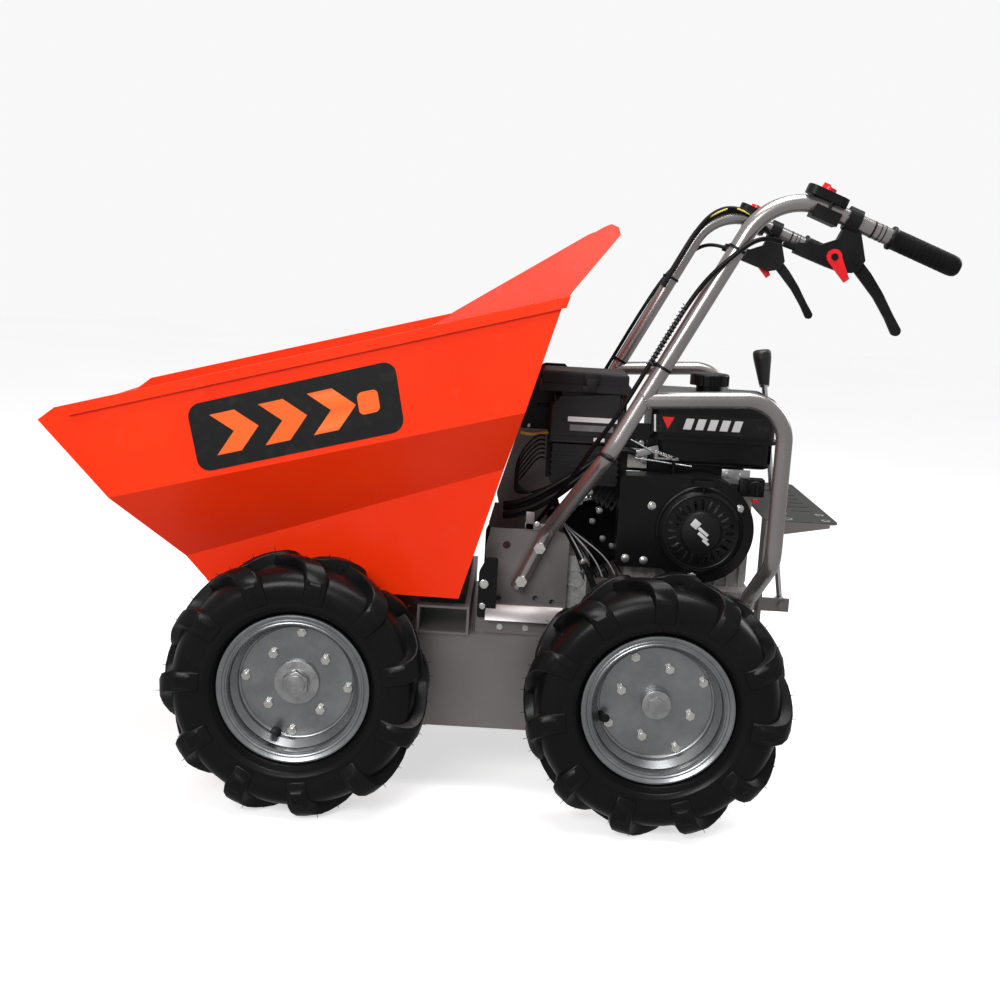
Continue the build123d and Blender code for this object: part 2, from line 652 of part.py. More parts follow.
def fan_shroud():
    """Sheet metal housing over the flywheel: a flat cover running into a round one."""
    base = rounded_slab([(-212, 388), (-212, 538), (CRANK_X - 20, 541), (CRANK_X - 20, 388)], (98, RECOIL_Y[0]), 9)
    base += rod_y(CRANK_X, CRANK_Z, (98, RECOIL_Y[0]), SHROUD_R)
    hollow = rounded_slab([(-214, 390), (-214, 536), (CRANK_X - 20, 539), (CRANK_X - 20, 390)],
                          (97, RECOIL_Y[0] - 2), 8)
    hollow += rod_y(CRANK_X, CRANK_Z, (97, RECOIL_Y[0] - 2), SHROUD_R - 2)
    shell = base - hollow - rod_y(CRANK_X, CRANK_Z, (140, 160), 60)
    return shell + rod_z(*THROTTLE_STUD, (538, 567), 3)


def recoil_cover():
    """Starter cover with a ring of slots round a raised boss."""
    y0, y1 = RECOIL_Y
    shell = turned([(0, y1), (30, y1), (34, y1 - 3), (58, y1 - 4), (66, y1 - 10), (66, y0 + 3), (72, y0 + 3),
                    (72, y0), (63, y0), (63, y1 - 11), (56, y1 - 7), (0, y1 - 7)], CRANK_X, CRANK_Z)
    for i in range(24):
        slot = Pos(CRANK_X, y1 - 5, CRANK_Z) * Rot(0, i * 15, 0) * Pos(45, 0, 0) * Box(16, 14, 4.5)
        shell -= slot
    shell -= rod_z(CRANK_X, (y0 + y1) / 2 + 1, (CRANK_Z + 50, CRANK_Z + 80), 3.2)
    return shell


def starter_grip():
    """Grip with the straight length of cord behind it, inside the starter cover."""
    y = (RECOIL_Y[0] + RECOIL_Y[1]) / 2 + 1
    z = CRANK_Z + 72.5
    grip = Pos(CRANK_X, y, z + 5) * Box(34, 11, 9)
    grip = fillet(grip.edges().filter_by(Axis.Y), 4)
    cord = rod_z(CRANK_X, y, (CRANK_Z + 34, z + 2), 2.0)
    return grip + cord


def crankshaft():
    """Crankshaft with flywheel fan on one end and the belt pulley on the other."""
    shaft = rod_y(CRANK_X, CRANK_Z, (-106, 138), CRANK_R)
    shaft += rod_y(CRANK_X, CRANK_Z, (101, 122), 76)
    for i in range(16):
        shaft += Pos(CRANK_X, 129, CRANK_Z) * Rot(0, i * 22.5, 0) * Pos(56, 0, 0) * Box(34, 14, 3)
    shaft += rod_y(CRANK_X, CRANK_Z, (-20, 20), 40)
    return shaft + grooved_pulley(CRANK_X, CRANK_Z, DRIVE_PULLEY_R)


def fuel_tank():
    """Welded two-half tank with a seam flange and a filler neck."""
    upper = block((-468, -262), (-84, 88), (598, 668))
    upper = fillet(upper.edges().filter_by(Axis.Z), 22)
    upper = fillet(upper.faces().sort_by(Axis.Z)[-1].edges(), 14)
    lower = block((-466, -268), (-82, 84), (549, 592))
    lower = fillet(lower.edges().filter_by(Axis.Z), 22)
    lower = fillet(lower.faces().sort_by(Axis.Z)[0].edges(), 10)
    seam = block((-473, -258), (-86.5, 92), (592, 598))
    seam = fillet(seam.edges().filter_by(Axis.Z), 25)
    neck = rod_z(*TANK_CAP, (660, 678), 22)
    hollow = block((-464, -272), (-79, 80), (552, 664))
    hollow = fillet(hollow.edges(), 10)
    return upper + lower + seam + neck - hollow


def fuel_cap():
    cap = rod_z(*TANK_CAP, (679, 699), 33)
    cap = fillet(cap.edges().filter_by(GeomType.CIRCLE).sort_by(Axis.Z)[-1:], 4)
    for i in range(12):
        a = math.radians(30 * i)
        cap -= rod_z(TANK_CAP[0] + 35 * math.cos(a), TANK_CAP[1] + 35 * math.sin(a), (678, 696), 4.5)
    return cap


def air_cleaner_base():
    """Ribbed lower body and back plate of the air cleaner."""
    body = block((-208, -100), (46, 106), (512, 578))
    for z in (520, 530, 540, 550, 560):
        body += block((-210, -98), (44, 107.5), (z, z + 4))
    body += block((-214, -92), (38, 44), (512, 664))
    body += block((-225.5, -208), (50, 82), (532, 560))
    return body - cylinder_clearance()


def cylinder_clearance():
    plane = cylinder_frame()
    return plane * Pos(0, 0, 160) * Box(106, 110, 120)


def air_cleaner_cover():
    outline = [(-94, 580), (-94, 640), (-108, 657), (-206, 664), (-214, 580)]
    cover = rounded_slab(outline, (44.0, 110), 4)
    cover = fillet(cover.faces().sort_by(Axis.Y)[-1].edges(), 3)
    cover -= block((-206, -98), (43, 106), (584, 652))
    lid = block((-222, -74), (-10, 112), (664.5, 676))
    lid += block((-218, -78), (-6, 108), (676, 697))
    lid = fillet(lid.faces().sort_by(Axis.Z)[-1].edges(), 6)
    return cover + lid + block((-200, -110), (50, 104), (655, 665))


def carburettor():
    body = block((-258, -226), (44, 84), (542, 574)) + rod_z(-242, 64, (538, 592), 13)
    return body


def silencer():
    """Silencer box on the far side of the cylinder, inside its slotted heat shield."""
    body = block((-222, -112), (-158, -92), (566, 650))
    body = fillet(body.edges().filter_by(Axis.X), 16)
    body += rod_y(-160, 590, (-92, -70), 12)
    shield = block((-232, -102), (-168, -86), (556, 660)) - block((-229, -105), (-165, -80), (559, 657))
    for x in range(-220, -110, 12):
        shield -= block((x - 3, x + 3), (-170, -160), (574, 642))
    return group([body, shield])


def engine_switch():
    """Stop switch on the shroud's rear corner."""
    return block((-448, -419), (100, 128), (511, 539)) + rod_y(*SWITCH_AT, (128, 134), 10)


def switch_key():
    x, z = SWITCH_AT
    return rod_y(x, z, (134.4, 142), 9) + block((x - 2, x + 2), (138, 150), (z - 8, z + 8))


def throttle_lever():
    """Throttle arm of the governor, turning on an upright stud above the shroud."""
    x, y = THROTTLE_STUD
    arm = block((x, x + 32), (y - 4, y + 4), (562, 565)) + rod_z(x, y, (562, 565), 8)
    arm += rod_z(x + 30, y, (562, 572), 4)
    return arm - rod_z(x, y, (500, 600), 3 + RUNNING_FIT)


# ---------- controls ----------
def perch():
    """Lever perch: clamp round the handle tube, forked body under it and the cable barrel in front."""
    plane = handle_frame(PERCH_AT)
    clamp = plane * Cylinder(18, 20)
    body = slab([(-497, 948), (-518, 936), (-528, 896), (-520, 880), (-500, 876), (-474, 884), (-440, 896),
                 (-424, 902), (-428, 917), (-462, 915), (-486, 924)], (HANDLE_Y - 9, HANDLE_Y + 9))
    barrel = Plane(origin=(-428, HANDLE_Y, 909.5), z_dir=(1, 0, 0.32)) * Pos(0, 0, 8) * Cylinder(5.5, 22)
    part = clamp + body + barrel
    part -= plane * Cylinder(TUBE_R, 60)
    part -= block((-560, -494), (HANDLE_Y - 4.5, HANDLE_Y + 4.5), (840, 908))
    part -= rod_y(*LEVER_PIVOT, (HANDLE_Y - 20, HANDLE_Y + 20), 4.0)
    part -= rod_y(*CATCH_PIVOT, (HANDLE_Y - 2, HANDLE_Y + 20), 3.0)
    pin = rod_y(*LEVER_PIVOT, (HANDLE_Y - 11, HANDLE_Y + 11), 4.0)
    post = rod_y(*CATCH_PIVOT, (HANDLE_Y - 2, HANDLE_Y + 17), 3.0)
    post += rod_y(*CATCH_PIVOT, (HANDLE_Y + 15.4, HANDLE_Y + 17), 5.0)
    return group([largest(part), pin, post])


def main_lever():
    """Lever blade, forked into the perch and bent down towards its ball end."""
    points = [LEVER_PIVOT, (-532, 873), (-552, 848), (-571, 818), (-583, 798)]
    blade = link(points, (9, 9, 7.5, 6.5, 7.5), (HANDLE_Y - 4, HANDLE_Y + 4))
    return blade - rod_y(*LEVER_PIVOT, (HANDLE_Y - 20, HANDLE_Y + 20), 4.0 + RUNNING_FIT)


def catch():
    """Parking catch: ring on the perch's outer face with a pointed tail."""
    y = (HANDLE_Y + 9.5, HANDLE_Y + 15)
    x, z = CATCH_PIVOT
    body = rod_y(x, z, y, 11) + slab([(x + 8, z - 8), (x - 10, z + 2), (x - 24, z - 30), (x - 17, z - 36)], y)
    return body - rod_y(x, z, (HANDLE_Y, HANDLE_Y + 20), 3.0 + RUNNING_FIT)


def thumb_seat():
    """Plane on the top of the handle tube under the thumb control, its x axis along the tube."""
    plane = handle_frame(THUMB_AT)
    up = Vector(plane.z_dir.Z, 0, -plane.z_dir.X)
    return Plane(origin=plane.origin + up * TUBE_R, x_dir=plane.z_dir, z_dir=up)


def thumb_control():
    """Thumb control: housing on top of the handle tube, a strap below it, two screws and the lever's post."""
    seat = thumb_seat()
    body = seat * Pos(0, 0, 3.5) * Box(62, 36, 13)
    body = fillet(edges_along(body, seat.z_dir), 12)
    strap = seat * Pos(8, 0, -22.5) * Box(40, 36, 19)
    pipe = tube(route(HANDLE_PATH, HANDLE_RADII), TUBE_R)
    body -= pipe
    body -= seat * Pos(-2, 0, 12) * Cylinder(3, 20)
    post = seat * Pos(-2, 0, 9.5) * Cylinder(3, 15)
    screws = [seat * Pos(8, side * 15.2, -8) * Cylinder(2.2, 9.8) for side in (-1, 1)]
    return group([body, strap - pipe, post] + screws)


def thumb_lever(turn):
    """Red thumb lever on the post of its housing, with an upturned tab."""
    lever = Cylinder(11, 5) + Pos(17, 0, 0) * Box(24, 8, 5) + Pos(29, 0, 4) * Box(5, 10, 13)
    lever -= Cylinder(3 + RUNNING_FIT, 20)
    return thumb_seat() * Pos(-2, 0, 13) * Rot(0, 0, turn) * lever


def gear_lever():
    """Bright rod on a pivot boss, with a tapered knob."""
    x0, z0 = GEAR_PIVOT
    top = (-466.0, 728.0)
    length = math.hypot(top[0] - x0, top[1] - z0)
    plane = Plane(origin=(x0, GEAR_Y, z0), x_dir=(0, 1, 0), z_dir=(top[0] - x0, 0, top[1] - z0))
    lever_rod = plane * Pos(0, 0, (length - 30) / 2 + 5) * Cylinder(5, length - 40)
    lever_rod += rod_y(x0, z0, (GEAR_Y - 12, GEAR_Y + 12), 11)
    lever_rod -= rod_y(x0, z0, (GEAR_Y - 20, GEAR_Y + 20), 5 + RUNNING_FIT)
    knob = plane * Pos(0, 0, length - 30) * Cone(8.5, 16, 52)
    knob += plane * Pos(0, 0, length + 3) * Cylinder(16, 14)
    knob = fillet(knob.edges().filter_by(GeomType.CIRCLE).sort_by(Axis.Z)[-1:], 6)
    knob -= plane * Pos(0, 0, length / 2 - 10 - 5) * Cylinder(5, length - 40 + 20 - 10)
    return group([largest(lever_rod), largest(knob)])


def control_cables():
    """Sheathed cable from each perch, down inside its handle tube line, to the gearbox."""
    points = [(-407, HANDLE_Y, 916.3), (-386, 303, 921), (-362, 291, 905), (-318, 293, 852), (-272, 294, 790),
              (-228, 294, 712), (-182, 290, 634), (-140, 250, 572), (-104, 196, 524), (-78, 142, 488),
              (-68, 96, 452), (-62, 60, 424), (-60, 46, 393.6)]
    radii = []
    for i in range(1, len(points) - 1):
        a = Vector(*points[i]) - Vector(*points[i - 1])
        b = Vector(*points[i + 1]) - Vector(*points[i])
        turn = math.radians(a.get_angle(b))
        radii.append(0.45 * min(a.length, b.length) / math.tan(turn / 2))
    print("cable radii", [round(r) for r in radii])
    path = route(points, radii)
    cable = tube(path, CABLE_R)
    print("cable volume over section times length", round(cable.volume / (math.pi * CABLE_R**2 * path.length), 4))
    return group([cable, mirrored(cable)])


def fasteners():
    """Handle bolts, foot screws, bearing nuts and engine mounting bolts."""
    pieces = []
    for x, z in HANDLE_BOLTS:
        y = HANDLE_FOOT_Y + TUBE_R
        bolt = rod_y(x, z, (112, y + 1), 5.0) + hexagon_y(x, z, (y + 0.05, y + 6), 17)
        bolt += hexagon_y(x, z, (111, BRACKET_Y[0]), 16)
        pieces += [bolt, mirrored(bolt)]
    for x in FOOT_SCREWS_X:
        y = UPPER_FRAME_HALF_W + SHEET
        screw = rod_y(x, FOOT_SCREW_Z, (158, y + 1), 3.0) + rod_y(x, FOOT_SCREW_Z, (y, y + 3), 5.0)
        pieces += [screw, mirrored(screw)]
    for axle_x in (FRONT_X, REAR_X):
        for dx, dz in ((-28, -28), (28, -28), (-28, 28), (28, 28)):
            y = CHASSIS_HALF_W + 8
            head = hexagon_y(axle_x + dx, AXLE_Z + dz, (y, y + 6), 13)
            pieces += [head, mirrored(head)]
    for x, y in ENGINE_FEET:
        pieces.append(rod_z(x, y, (DECK_TOP, DECK_TOP + 10), 4.5) + rod_z(x, y, (DECK_TOP + 10, DECK_TOP + 17), 7))
    return group(pieces)


def main():
    write(chassis_channel(), "chassis_channel")
    write(upper_frame(), "upper_frame")
    write(engine_deck(), "engine_deck")
    write(rear_supports(), "rear_supports")
    plate = bracket_plate()
    write(plate, "bracket_plate_left")
    write(mirrored(plate), "bracket_plate_right")
    write(skip_rest_beam(), "skip_rest_beam")
    write(rest_pads(), "rest_pads")
    write(hinge_brackets(), "hinge_brackets")
    handle = handle_tube()
    write(handle, "handle_tube_left")
    write(mirrored(handle), "handle_tube_right")
    guard = guard_tube()
    write(guard, "guard_tube_left")
    write(mirrored(guard), "guard_tube_right")
    write(rear_console(), "rear_console")
    write(grips(), "grips")
    write(axle_bearings(), "axle_bearings")
    write(fasteners(), "fasteners")

    write(gearbox_housing(), "gearbox_housing")
    write(driven_pulley(), "driven_pulley")
    write(output_shaft(), "output_shaft")
    write(drive_belt(), "drive_belt")
    write(belt_guard(), "belt_guard")
    write(drive_chains(), "drive_chains")

    tyre_shape, rim_shape = tyre(), rim()
    for name, axle_x, chain_y, nut_r, flange_r, turn in (
            ("front", FRONT_X, FRONT_CHAIN_Y, 21, 35, -4), ("rear", REAR_X, REAR_CHAIN_Y, 23, 24, 27)):
        write(axle(axle_x, chain_y, nut_r, flange_r, turn), f"{name}_axle")
        write(wheel_at(rim_shape, axle_x, turn), f"{name}_rims")
        write(wheel_at(tyre_shape, axle_x, turn), f"{name}_tyres")
        write(wheel_bolts(axle_x, turn), f"{name}_wheel_bolts")

    write(skip_tub(), "skip_tub")
    write(splash_guard(), "splash_guard")
    write(skip_lugs(), "skip_lugs")

    write(engine_block(), "engine_block")
    write(cylinder(), "cylinder")
    write(head_cover(), "head_cover")
    write(crankshaft(), "crankshaft")
    write(fan_shroud(), "fan_shroud")
    write(recoil_cover(), "recoil_cover")
    write(starter_grip(), "starter_grip")
    write(fuel_tank(), "fuel_tank")
    write(fuel_cap(), "fuel_cap")
    write(air_cleaner_base(), "air_cleaner_base")
    write(air_cleaner_cover(), "air_cleaner_cover")
    write(carburettor(), "carburettor")
    write(silencer(), "silencer")
    write(engine_switch(), "engine_switch")
    write(switch_key(), "switch_key")
    write(throttle_lever(), "throttle_lever")

    for name, shape in (("perches", perch()), ("thumb_controls", thumb_control())):
        write(group([shape, mirrored(shape)]), name)
    write(main_lever(), "lever_left")
    write(mirrored(main_lever()), "lever_right")
    write(catch(), "catch_left")
    write(mirrored(catch()), "catch_right")
    write(thumb_lever(90), "thumb_lever_left")
    write(mirrored(thumb_lever(0)), "thumb_lever_right")
    write(gear_lever(), "gear_lever")
    write(control_cables(), "control_cables")


main()
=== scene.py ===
from math import cos, hypot, pi, radians, sin

import bmesh
import bpy
from mathutils import Matrix, Vector


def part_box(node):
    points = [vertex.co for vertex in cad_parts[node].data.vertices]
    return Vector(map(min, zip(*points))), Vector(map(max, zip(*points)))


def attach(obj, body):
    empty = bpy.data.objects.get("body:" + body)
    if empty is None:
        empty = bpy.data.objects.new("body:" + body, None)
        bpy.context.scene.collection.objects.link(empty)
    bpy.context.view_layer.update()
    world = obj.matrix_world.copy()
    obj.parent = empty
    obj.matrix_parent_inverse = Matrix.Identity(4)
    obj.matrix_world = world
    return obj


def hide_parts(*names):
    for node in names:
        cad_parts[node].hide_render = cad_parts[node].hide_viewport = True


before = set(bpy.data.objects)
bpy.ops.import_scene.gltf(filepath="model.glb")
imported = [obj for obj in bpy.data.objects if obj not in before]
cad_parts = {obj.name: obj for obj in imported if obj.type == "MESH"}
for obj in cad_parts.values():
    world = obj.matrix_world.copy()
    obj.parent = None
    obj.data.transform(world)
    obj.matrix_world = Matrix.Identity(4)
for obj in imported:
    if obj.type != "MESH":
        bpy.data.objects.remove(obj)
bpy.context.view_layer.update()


# ---------- chassis ----------
# Channel, trays, brackets and beam are laser-cut and folded steel sheet, welded together, then powder
# coated in a warm metallic grey; the lighter fold at each bracket foot, further on, is a painted highlight.
class Level:
    """A value that varies over a surface. Arithmetic on it adds Math nodes to its finish."""

    def __init__(self, finish, socket):
        self.finish = finish
        self.socket = socket

    def of(self, operation, first, second):
        return self.finish.node("ShaderNodeMath", {"operation": operation}, {0: first, 1: second})

    def __add__(self, other):
        return self.of("ADD", self, other)

    def __rsub__(self, other):
        return self.of("SUBTRACT", other, self)

    def __mul__(self, other):
        return self.of("MULTIPLY", self, other)

    __radd__ = __add__
    __rmul__ = __mul__

    def rise(self, low, high):
        """0 below low, 1 above high, smooth between."""
        return self.finish.node("ShaderNodeMapRange", {"interpolation_type": "SMOOTHSTEP"},
                                {"Value": self, "From Min": low, "From Max": high})


class Finish:
    """One surface finish. Every node is made by node(), and surface() closes the material."""

    def __init__(self, name):
        self.material = bpy.data.materials.new(name)
        self.material.use_nodes = True
        self.tree = self.material.node_tree
        self.tree.nodes.clear()
        self.place = self.node("ShaderNodeTexCoord", {}, {}, "Object")

    def node(self, kind, settings, sockets, output=0):
        made = self.tree.nodes.new(kind)
        for key, value in settings.items():
            setattr(made, key, value)
        for key, value in sockets.items():
            if isinstance(value, Level):
                self.tree.links.new(value.socket, made.inputs[key])
            else:
                made.inputs[key].default_value = value
        return Level(self, made.outputs[output]) if made.outputs else made

    def noise(self, scale, detail=3.0, roughness=0.55, stretch=(1, 1, 1)):
        place = self.node("ShaderNodeMapping", {}, {"Vector": self.place, "Scale": stretch})
        return self.node("ShaderNodeTexNoise", {}, {"Vector": place, "Scale": scale, "Detail": detail,
                                                    "Roughness": roughness}, "Fac")

    def axis(self, name):
        return self.node("ShaderNodeSeparateXYZ", {}, {"Vector": self.place}, name)

    def mix(self, share, first, second):
        colours = [c if isinstance(c, Level) else (*c, 1.0) for c in (first, second)]
        return self.node("ShaderNodeMix", {"data_type": "RGBA"}, {0: share, 6: colours[0], 7: colours[1]}, 2)

    def bump(self, height, depth, strength=1.0):
        """Bump of a height from 0 to 1 that stands depth metres high."""
        return self.node("ShaderNodeBump", {}, {"Height": height, "Distance": depth, "Strength": strength})

    def surface(self, sockets):
        shader = self.node("ShaderNodeBsdfPrincipled", {}, sockets)
        self.node("ShaderNodeOutputMaterial", {}, {"Surface": shader})
        return self.material


def powder_coat(name, light, dark, metallic, roughness, coat, peel, rub=0.1, gloss=0.5):
    """Powder coat: slow shade drift, fine flake, orange peel, and a few dull rubbed patches."""
    coat_finish = Finish(name)
    drift = coat_finish.noise(3.5, 4).rise(0.3, 0.72)
    flake = coat_finish.noise(1400, 1)
    rubbed = coat_finish.noise(26, 6, 0.7).rise(0.56, 0.74)
    colour = coat_finish.mix(drift, dark, light)
    colour = coat_finish.mix(flake.rise(0.55, 0.8) * 0.3, colour, [min(1, c * 1.5 + 0.02) for c in light])
    colour = coat_finish.mix(rubbed * rub, colour, (0.42, 0.39, 0.36))
    ripple = coat_finish.noise(220, 2) * 0.7 + coat_finish.noise(700, 1) * 0.3
    return coat_finish.surface({
        "Base Color": colour,
        "Metallic": metallic,
        "Roughness": rubbed * 0.14 + drift * 0.05 + roughness,
        "Coat Weight": coat,
        "Coat Roughness": 0.18,
        "Specular IOR Level": gloss,
        "Normal": coat_finish.bump(ripple, peel, 0.6),
    })


def dress(material, *nodes):
    """Gives CAD nodes their finish."""
    for name in nodes:
        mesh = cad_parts[name].data
        mesh.materials.clear()
        mesh.materials.append(material)


frame_coat = powder_coat("frame_coat", (0.235, 0.214, 0.210), (0.180, 0.163, 0.160), 0.55, 0.34, 0.1,
                         0.00012)
dress(frame_coat, "chassis_channel", "upper_frame", "engine_deck", "rear_supports", "bracket_plate_left",
      "bracket_plate_right", "skip_rest_beam", "hinge_brackets")

# ---------- handle and guard tubes ----------
# Bent steel tube of one diameter, flattened and bolted at its foot; the same grey coat lies smoother on drawn
# tube than on the sheet, and its colour is painted lighter there as a highlight.
highlit_tube_coat = powder_coat("highlit_tube_coat", (0.37, 0.345, 0.34), (0.29, 0.268, 0.263), 0.8, 0.23, 0.15, 0.00008,
                        0.12)
dress(highlit_tube_coat, "handle_tube_left", "handle_tube_right", "guard_tube_left", "guard_tube_right")

# ---------- rear console ----------
# A folded sheet shelf behind the engine carries the gear lever's gate. Its top is sprayed with a black
# gritty coat that has worn through to the grey in patches.
console_coat = Finish("console_coat")
CONSOLE_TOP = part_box("rear_console")[1].z
grit = console_coat.noise(700, 2)
worn = console_coat.noise(30, 5, 0.7).rise(0.62, 0.72)
top_face = console_coat.axis("Z").rise(CONSOLE_TOP - 0.0012, CONSOLE_TOP - 0.0004) * (1 - worn * 0.5)
dress(console_coat.surface({
    "Base Color": console_coat.mix(top_face, (0.215, 0.197, 0.193), (0.022, 0.023, 0.021)),
    "Metallic": 0.5 - top_face * 0.5,
    "Roughness": grit * 0.1 + top_face * 0.1 + 0.36,
    "Specular IOR Level": 0.25,
    "Normal": console_coat.bump(grit, 0.0003, 0.7),
}), "rear_console")


# ---------- tyres ----------
# Lugged pneumatic tyres with a glossy domed carcass, two rows of slanted bars that fold over the shoulder,
# moulded rings on the sidewall and a few rubber vent hairs left from the mould.
def settle(name, shape, material, body, crease=32, stands_for=()):
    """Finishes a bmesh as a piece: doubles merged, faces outwards, sharp edges kept, riding on its body."""
    bmesh.ops.remove_doubles(shape, verts=shape.verts, dist=1e-6)
    bmesh.ops.recalc_face_normals(shape, faces=shape.faces)
    mesh = bpy.data.meshes.new(name)
    shape.to_mesh(mesh)
    shape.free()
    mesh.materials.append(material)
    mesh.shade_smooth()
    mesh.set_sharp_from_angle(angle=radians(crease))
    piece = bpy.data.objects.new(name, mesh)
    bpy.context.scene.collection.objects.link(piece)
    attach(piece, body)
    if stands_for:
        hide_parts(*stands_for)


def turn_to(direction):
    """Rotation that brings +Z to a direction."""
    return Vector(direction).to_track_quat("Z", "Y").to_matrix().to_4x4()


def rod(shape, start, end, radius, sides=24, bevel=0.0, far_radius=None):
    """Round or many-sided bar between two points, its ends softened by a bevel."""
    start, end = Vector(start), Vector(end)
    place = Matrix.Translation((start + end) / 2) @ turn_to(end - start)
    made = bmesh.ops.create_cone(shape, cap_ends=True, segments=sides, radius1=radius,
                                 radius2=radius if far_radius is None else far_radius,
                                 depth=(end - start).length, matrix=place)
    if bevel:
        rims = {e for v in made["verts"] for e in v.link_edges if any(len(f.verts) > 4 for f in e.link_faces)}
        bmesh.ops.bevel(shape, geom=list(rims), offset=bevel, segments=2, profile=0.5, affect="EDGES",
                        material=-1)


def rubber(name, base, dusty, shine, gloss=0.14):
    """Black rubber with a faint bloom, streaks of dust and a pebbled skin."""
    skin = Finish(name)
    bloom = skin.noise(9, 5, 0.6).rise(0.42, 0.75)
    grit = skin.noise(420, 2, 0.5)
    scuff = skin.noise(60, 6, 0.75, (1, 2.5, 1)).rise(0.6, 0.78)
    colour = skin.mix(bloom * 0.55, (base, base, base * 1.05), (base * 1.7, base * 1.68, base * 1.65))
    colour = skin.mix(scuff * 0.22, colour, dusty)
    return skin.surface({
        "Base Color": colour,
        "Roughness": bloom * 0.12 + scuff * 0.18 + shine,
        "Specular IOR Level": gloss,
        "Normal": skin.bump(grit * 0.6 + skin.noise(120, 3) * 0.4, 0.00022, 0.7),
    })


tyre_rubber = rubber("tyre_rubber", 0.0040, (0.022, 0.021, 0.020), 0.27, 0.16)
TYRE_LUGS = 11
TYRE_HALF_WIDTH = 0.055
# The axle's height, and how far each wheel's middle plane is from the barrow's.
tyre_low, tyre_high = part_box("front_tyres")
AXLE_Z = (tyre_high.z + tyre_low.z) / 2
WHEEL_Y = tyre_high.y - TYRE_HALF_WIDTH
# Radius and distance from the middle plane along half a carcass, outside then inside, bead to crown.
SIDEWALL = [(0.1043, 0.0245), (0.1176, 0.0268), (0.1205, 0.0330), (0.1222, 0.0348), (0.1236, 0.0375),
            (0.1262, 0.0424), (0.1275, 0.0454), (0.1290, 0.0454), (0.1310, 0.0478), (0.1345, 0.0498),
            (0.1360, 0.0510), (0.1378, 0.0510), (0.1390, 0.0506), (0.1450, 0.0520), (0.1530, 0.0528),
            (0.1600, 0.0528), (0.1655, 0.0522), (0.1715, 0.0503), (0.1775, 0.0465), (0.1830, 0.0402),
            (0.1870, 0.0312), (0.1892, 0.0200), (0.1900, 0.0090), (0.1902, 0.0)]
CARCASS_INSIDE = [(0.1000, 0.0150), (0.1140, 0.0170), (0.1210, 0.0300), (0.1330, 0.0420), (0.1500, 0.0460),
                  (0.1650, 0.0440), (0.1740, 0.0360), (0.1790, 0.0200), (0.1800, 0.0)]
# One lug, from its inner tip over the crown and down the sidewall: radius of its top, distance from the
# middle plane, angle round the tyre in degrees, and half its width.
LUG_PATH = [(0.2030, -0.009, -17.0, 0.0085), (0.2052, 0.002, -13.4, 0.0115), (0.2060, 0.013, -9.6, 0.0130),
            (0.2060, 0.024, -5.8, 0.0142), (0.2048, 0.034, -2.4, 0.0150), (0.2005, 0.0430, 0.2, 0.0156),
            (0.1930, 0.0505, 1.8, 0.0158), (0.1835, 0.0548, 2.6, 0.0158), (0.1735, 0.0566, 3.0, 0.0156),
            (0.1630, 0.0566, 3.2, 0.0153), (0.1520, 0.0556, 3.3, 0.0149), (0.1420, 0.0538, 3.3, 0.0144)]
# A lug's root is sunk towards a ring of this radius inside the carcass.
CORE_R = 0.155
# The raised pad on a lug's shoulder face runs between these radii, and is this high.
PAD = (0.1500, 0.1850)
PAD_HEIGHT = 0.0042
HAIR_RADIUS = 0.0006


def tyre_point(radius, side, angle):
    return Vector((radius * cos(angle), side, radius * sin(angle)))


def lug_mesh():
    """A bar subdivided along its length, laid along LUG_PATH, with a pad raised on its shoulder face."""
    steps = len(LUG_PATH) - 1
    lug = bmesh.new()
    bmesh.ops.create_cube(lug, size=1)
    long_edges = [e for e in lug.edges if abs((e.verts[0].co - e.verts[1].co).x) > 0.5]
    bmesh.ops.subdivide_edges(lug, edges=long_edges, cuts=steps - 1)
    tops = [f for f in lug.faces if f.calc_center_median().z > 0.4]
    for vert in lug.verts:
        radius, out, lean, half = LUG_PATH[round((vert.co.x + 0.5) * steps)]
        if vert.co.z < 0:
            # The root sinks less where the bar leaves the tread for the shoulder.
            sunk = 0.40 - 0.14 * min(1.0, max(0.0, (out - 0.030) / 0.022))
            radius += (CORE_R - radius) * sunk
            out -= out * sunk
            half *= 1.35
        vert.co = tyre_point(radius, out, radians(lean) + vert.co.y * 2 * half / radius)
    bmesh.ops.recalc_face_normals(lug, faces=lug.faces)
    rim_edges = {e for f in tops for e in f.edges if any(g not in tops for g in e.link_faces)}
    bmesh.ops.bevel(lug, geom=list(rim_edges), offset=0.0024, segments=3, profile=0.5, affect="EDGES",
                    material=-1)
    pad = [f for f in lug.faces if f.calc_area() > 0.00018 and f.calc_center_median().y > 0.0500
           and PAD[0] < hypot(f.calc_center_median().x, f.calc_center_median().z) < PAD[1]]
    bmesh.ops.inset_region(lug, faces=pad, thickness=0.0052, use_even_offset=True)
    lug.normal_update()
    # The bar's faces still look inwards here, so the pad rises against their normals.
    push = sum((f.normal for f in pad), Vector()).normalized() * PAD_HEIGHT
    bmesh.ops.translate(lug, verts=list({v for f in pad for v in f.verts}), vec=-push)
    for out, lean in ((0.006, -12.2), (0.030, -4.0)):
        foot = tyre_point(0.2052, out, radians(lean))
        rod(lug, foot, foot * 1.030, HAIR_RADIUS, 5, far_radius=0.0004)
    mesh = bpy.data.meshes.new("lug")
    lug.to_mesh(mesh)
    lug.free()
    return mesh


one_lug = lug_mesh()


def add_lug(shape, angle, side):
    count = len(shape.verts)
    shape.from_mesh(one_lug)
    shape.verts.ensure_lookup_table()
    fresh = shape.verts[count:]
    bmesh.ops.scale(shape, verts=fresh, vec=(1, side, 1))
    bmesh.ops.rotate(shape, verts=fresh, cent=(0, 0, 0), matrix=Matrix.Rotation(angle, 3, "Y"))


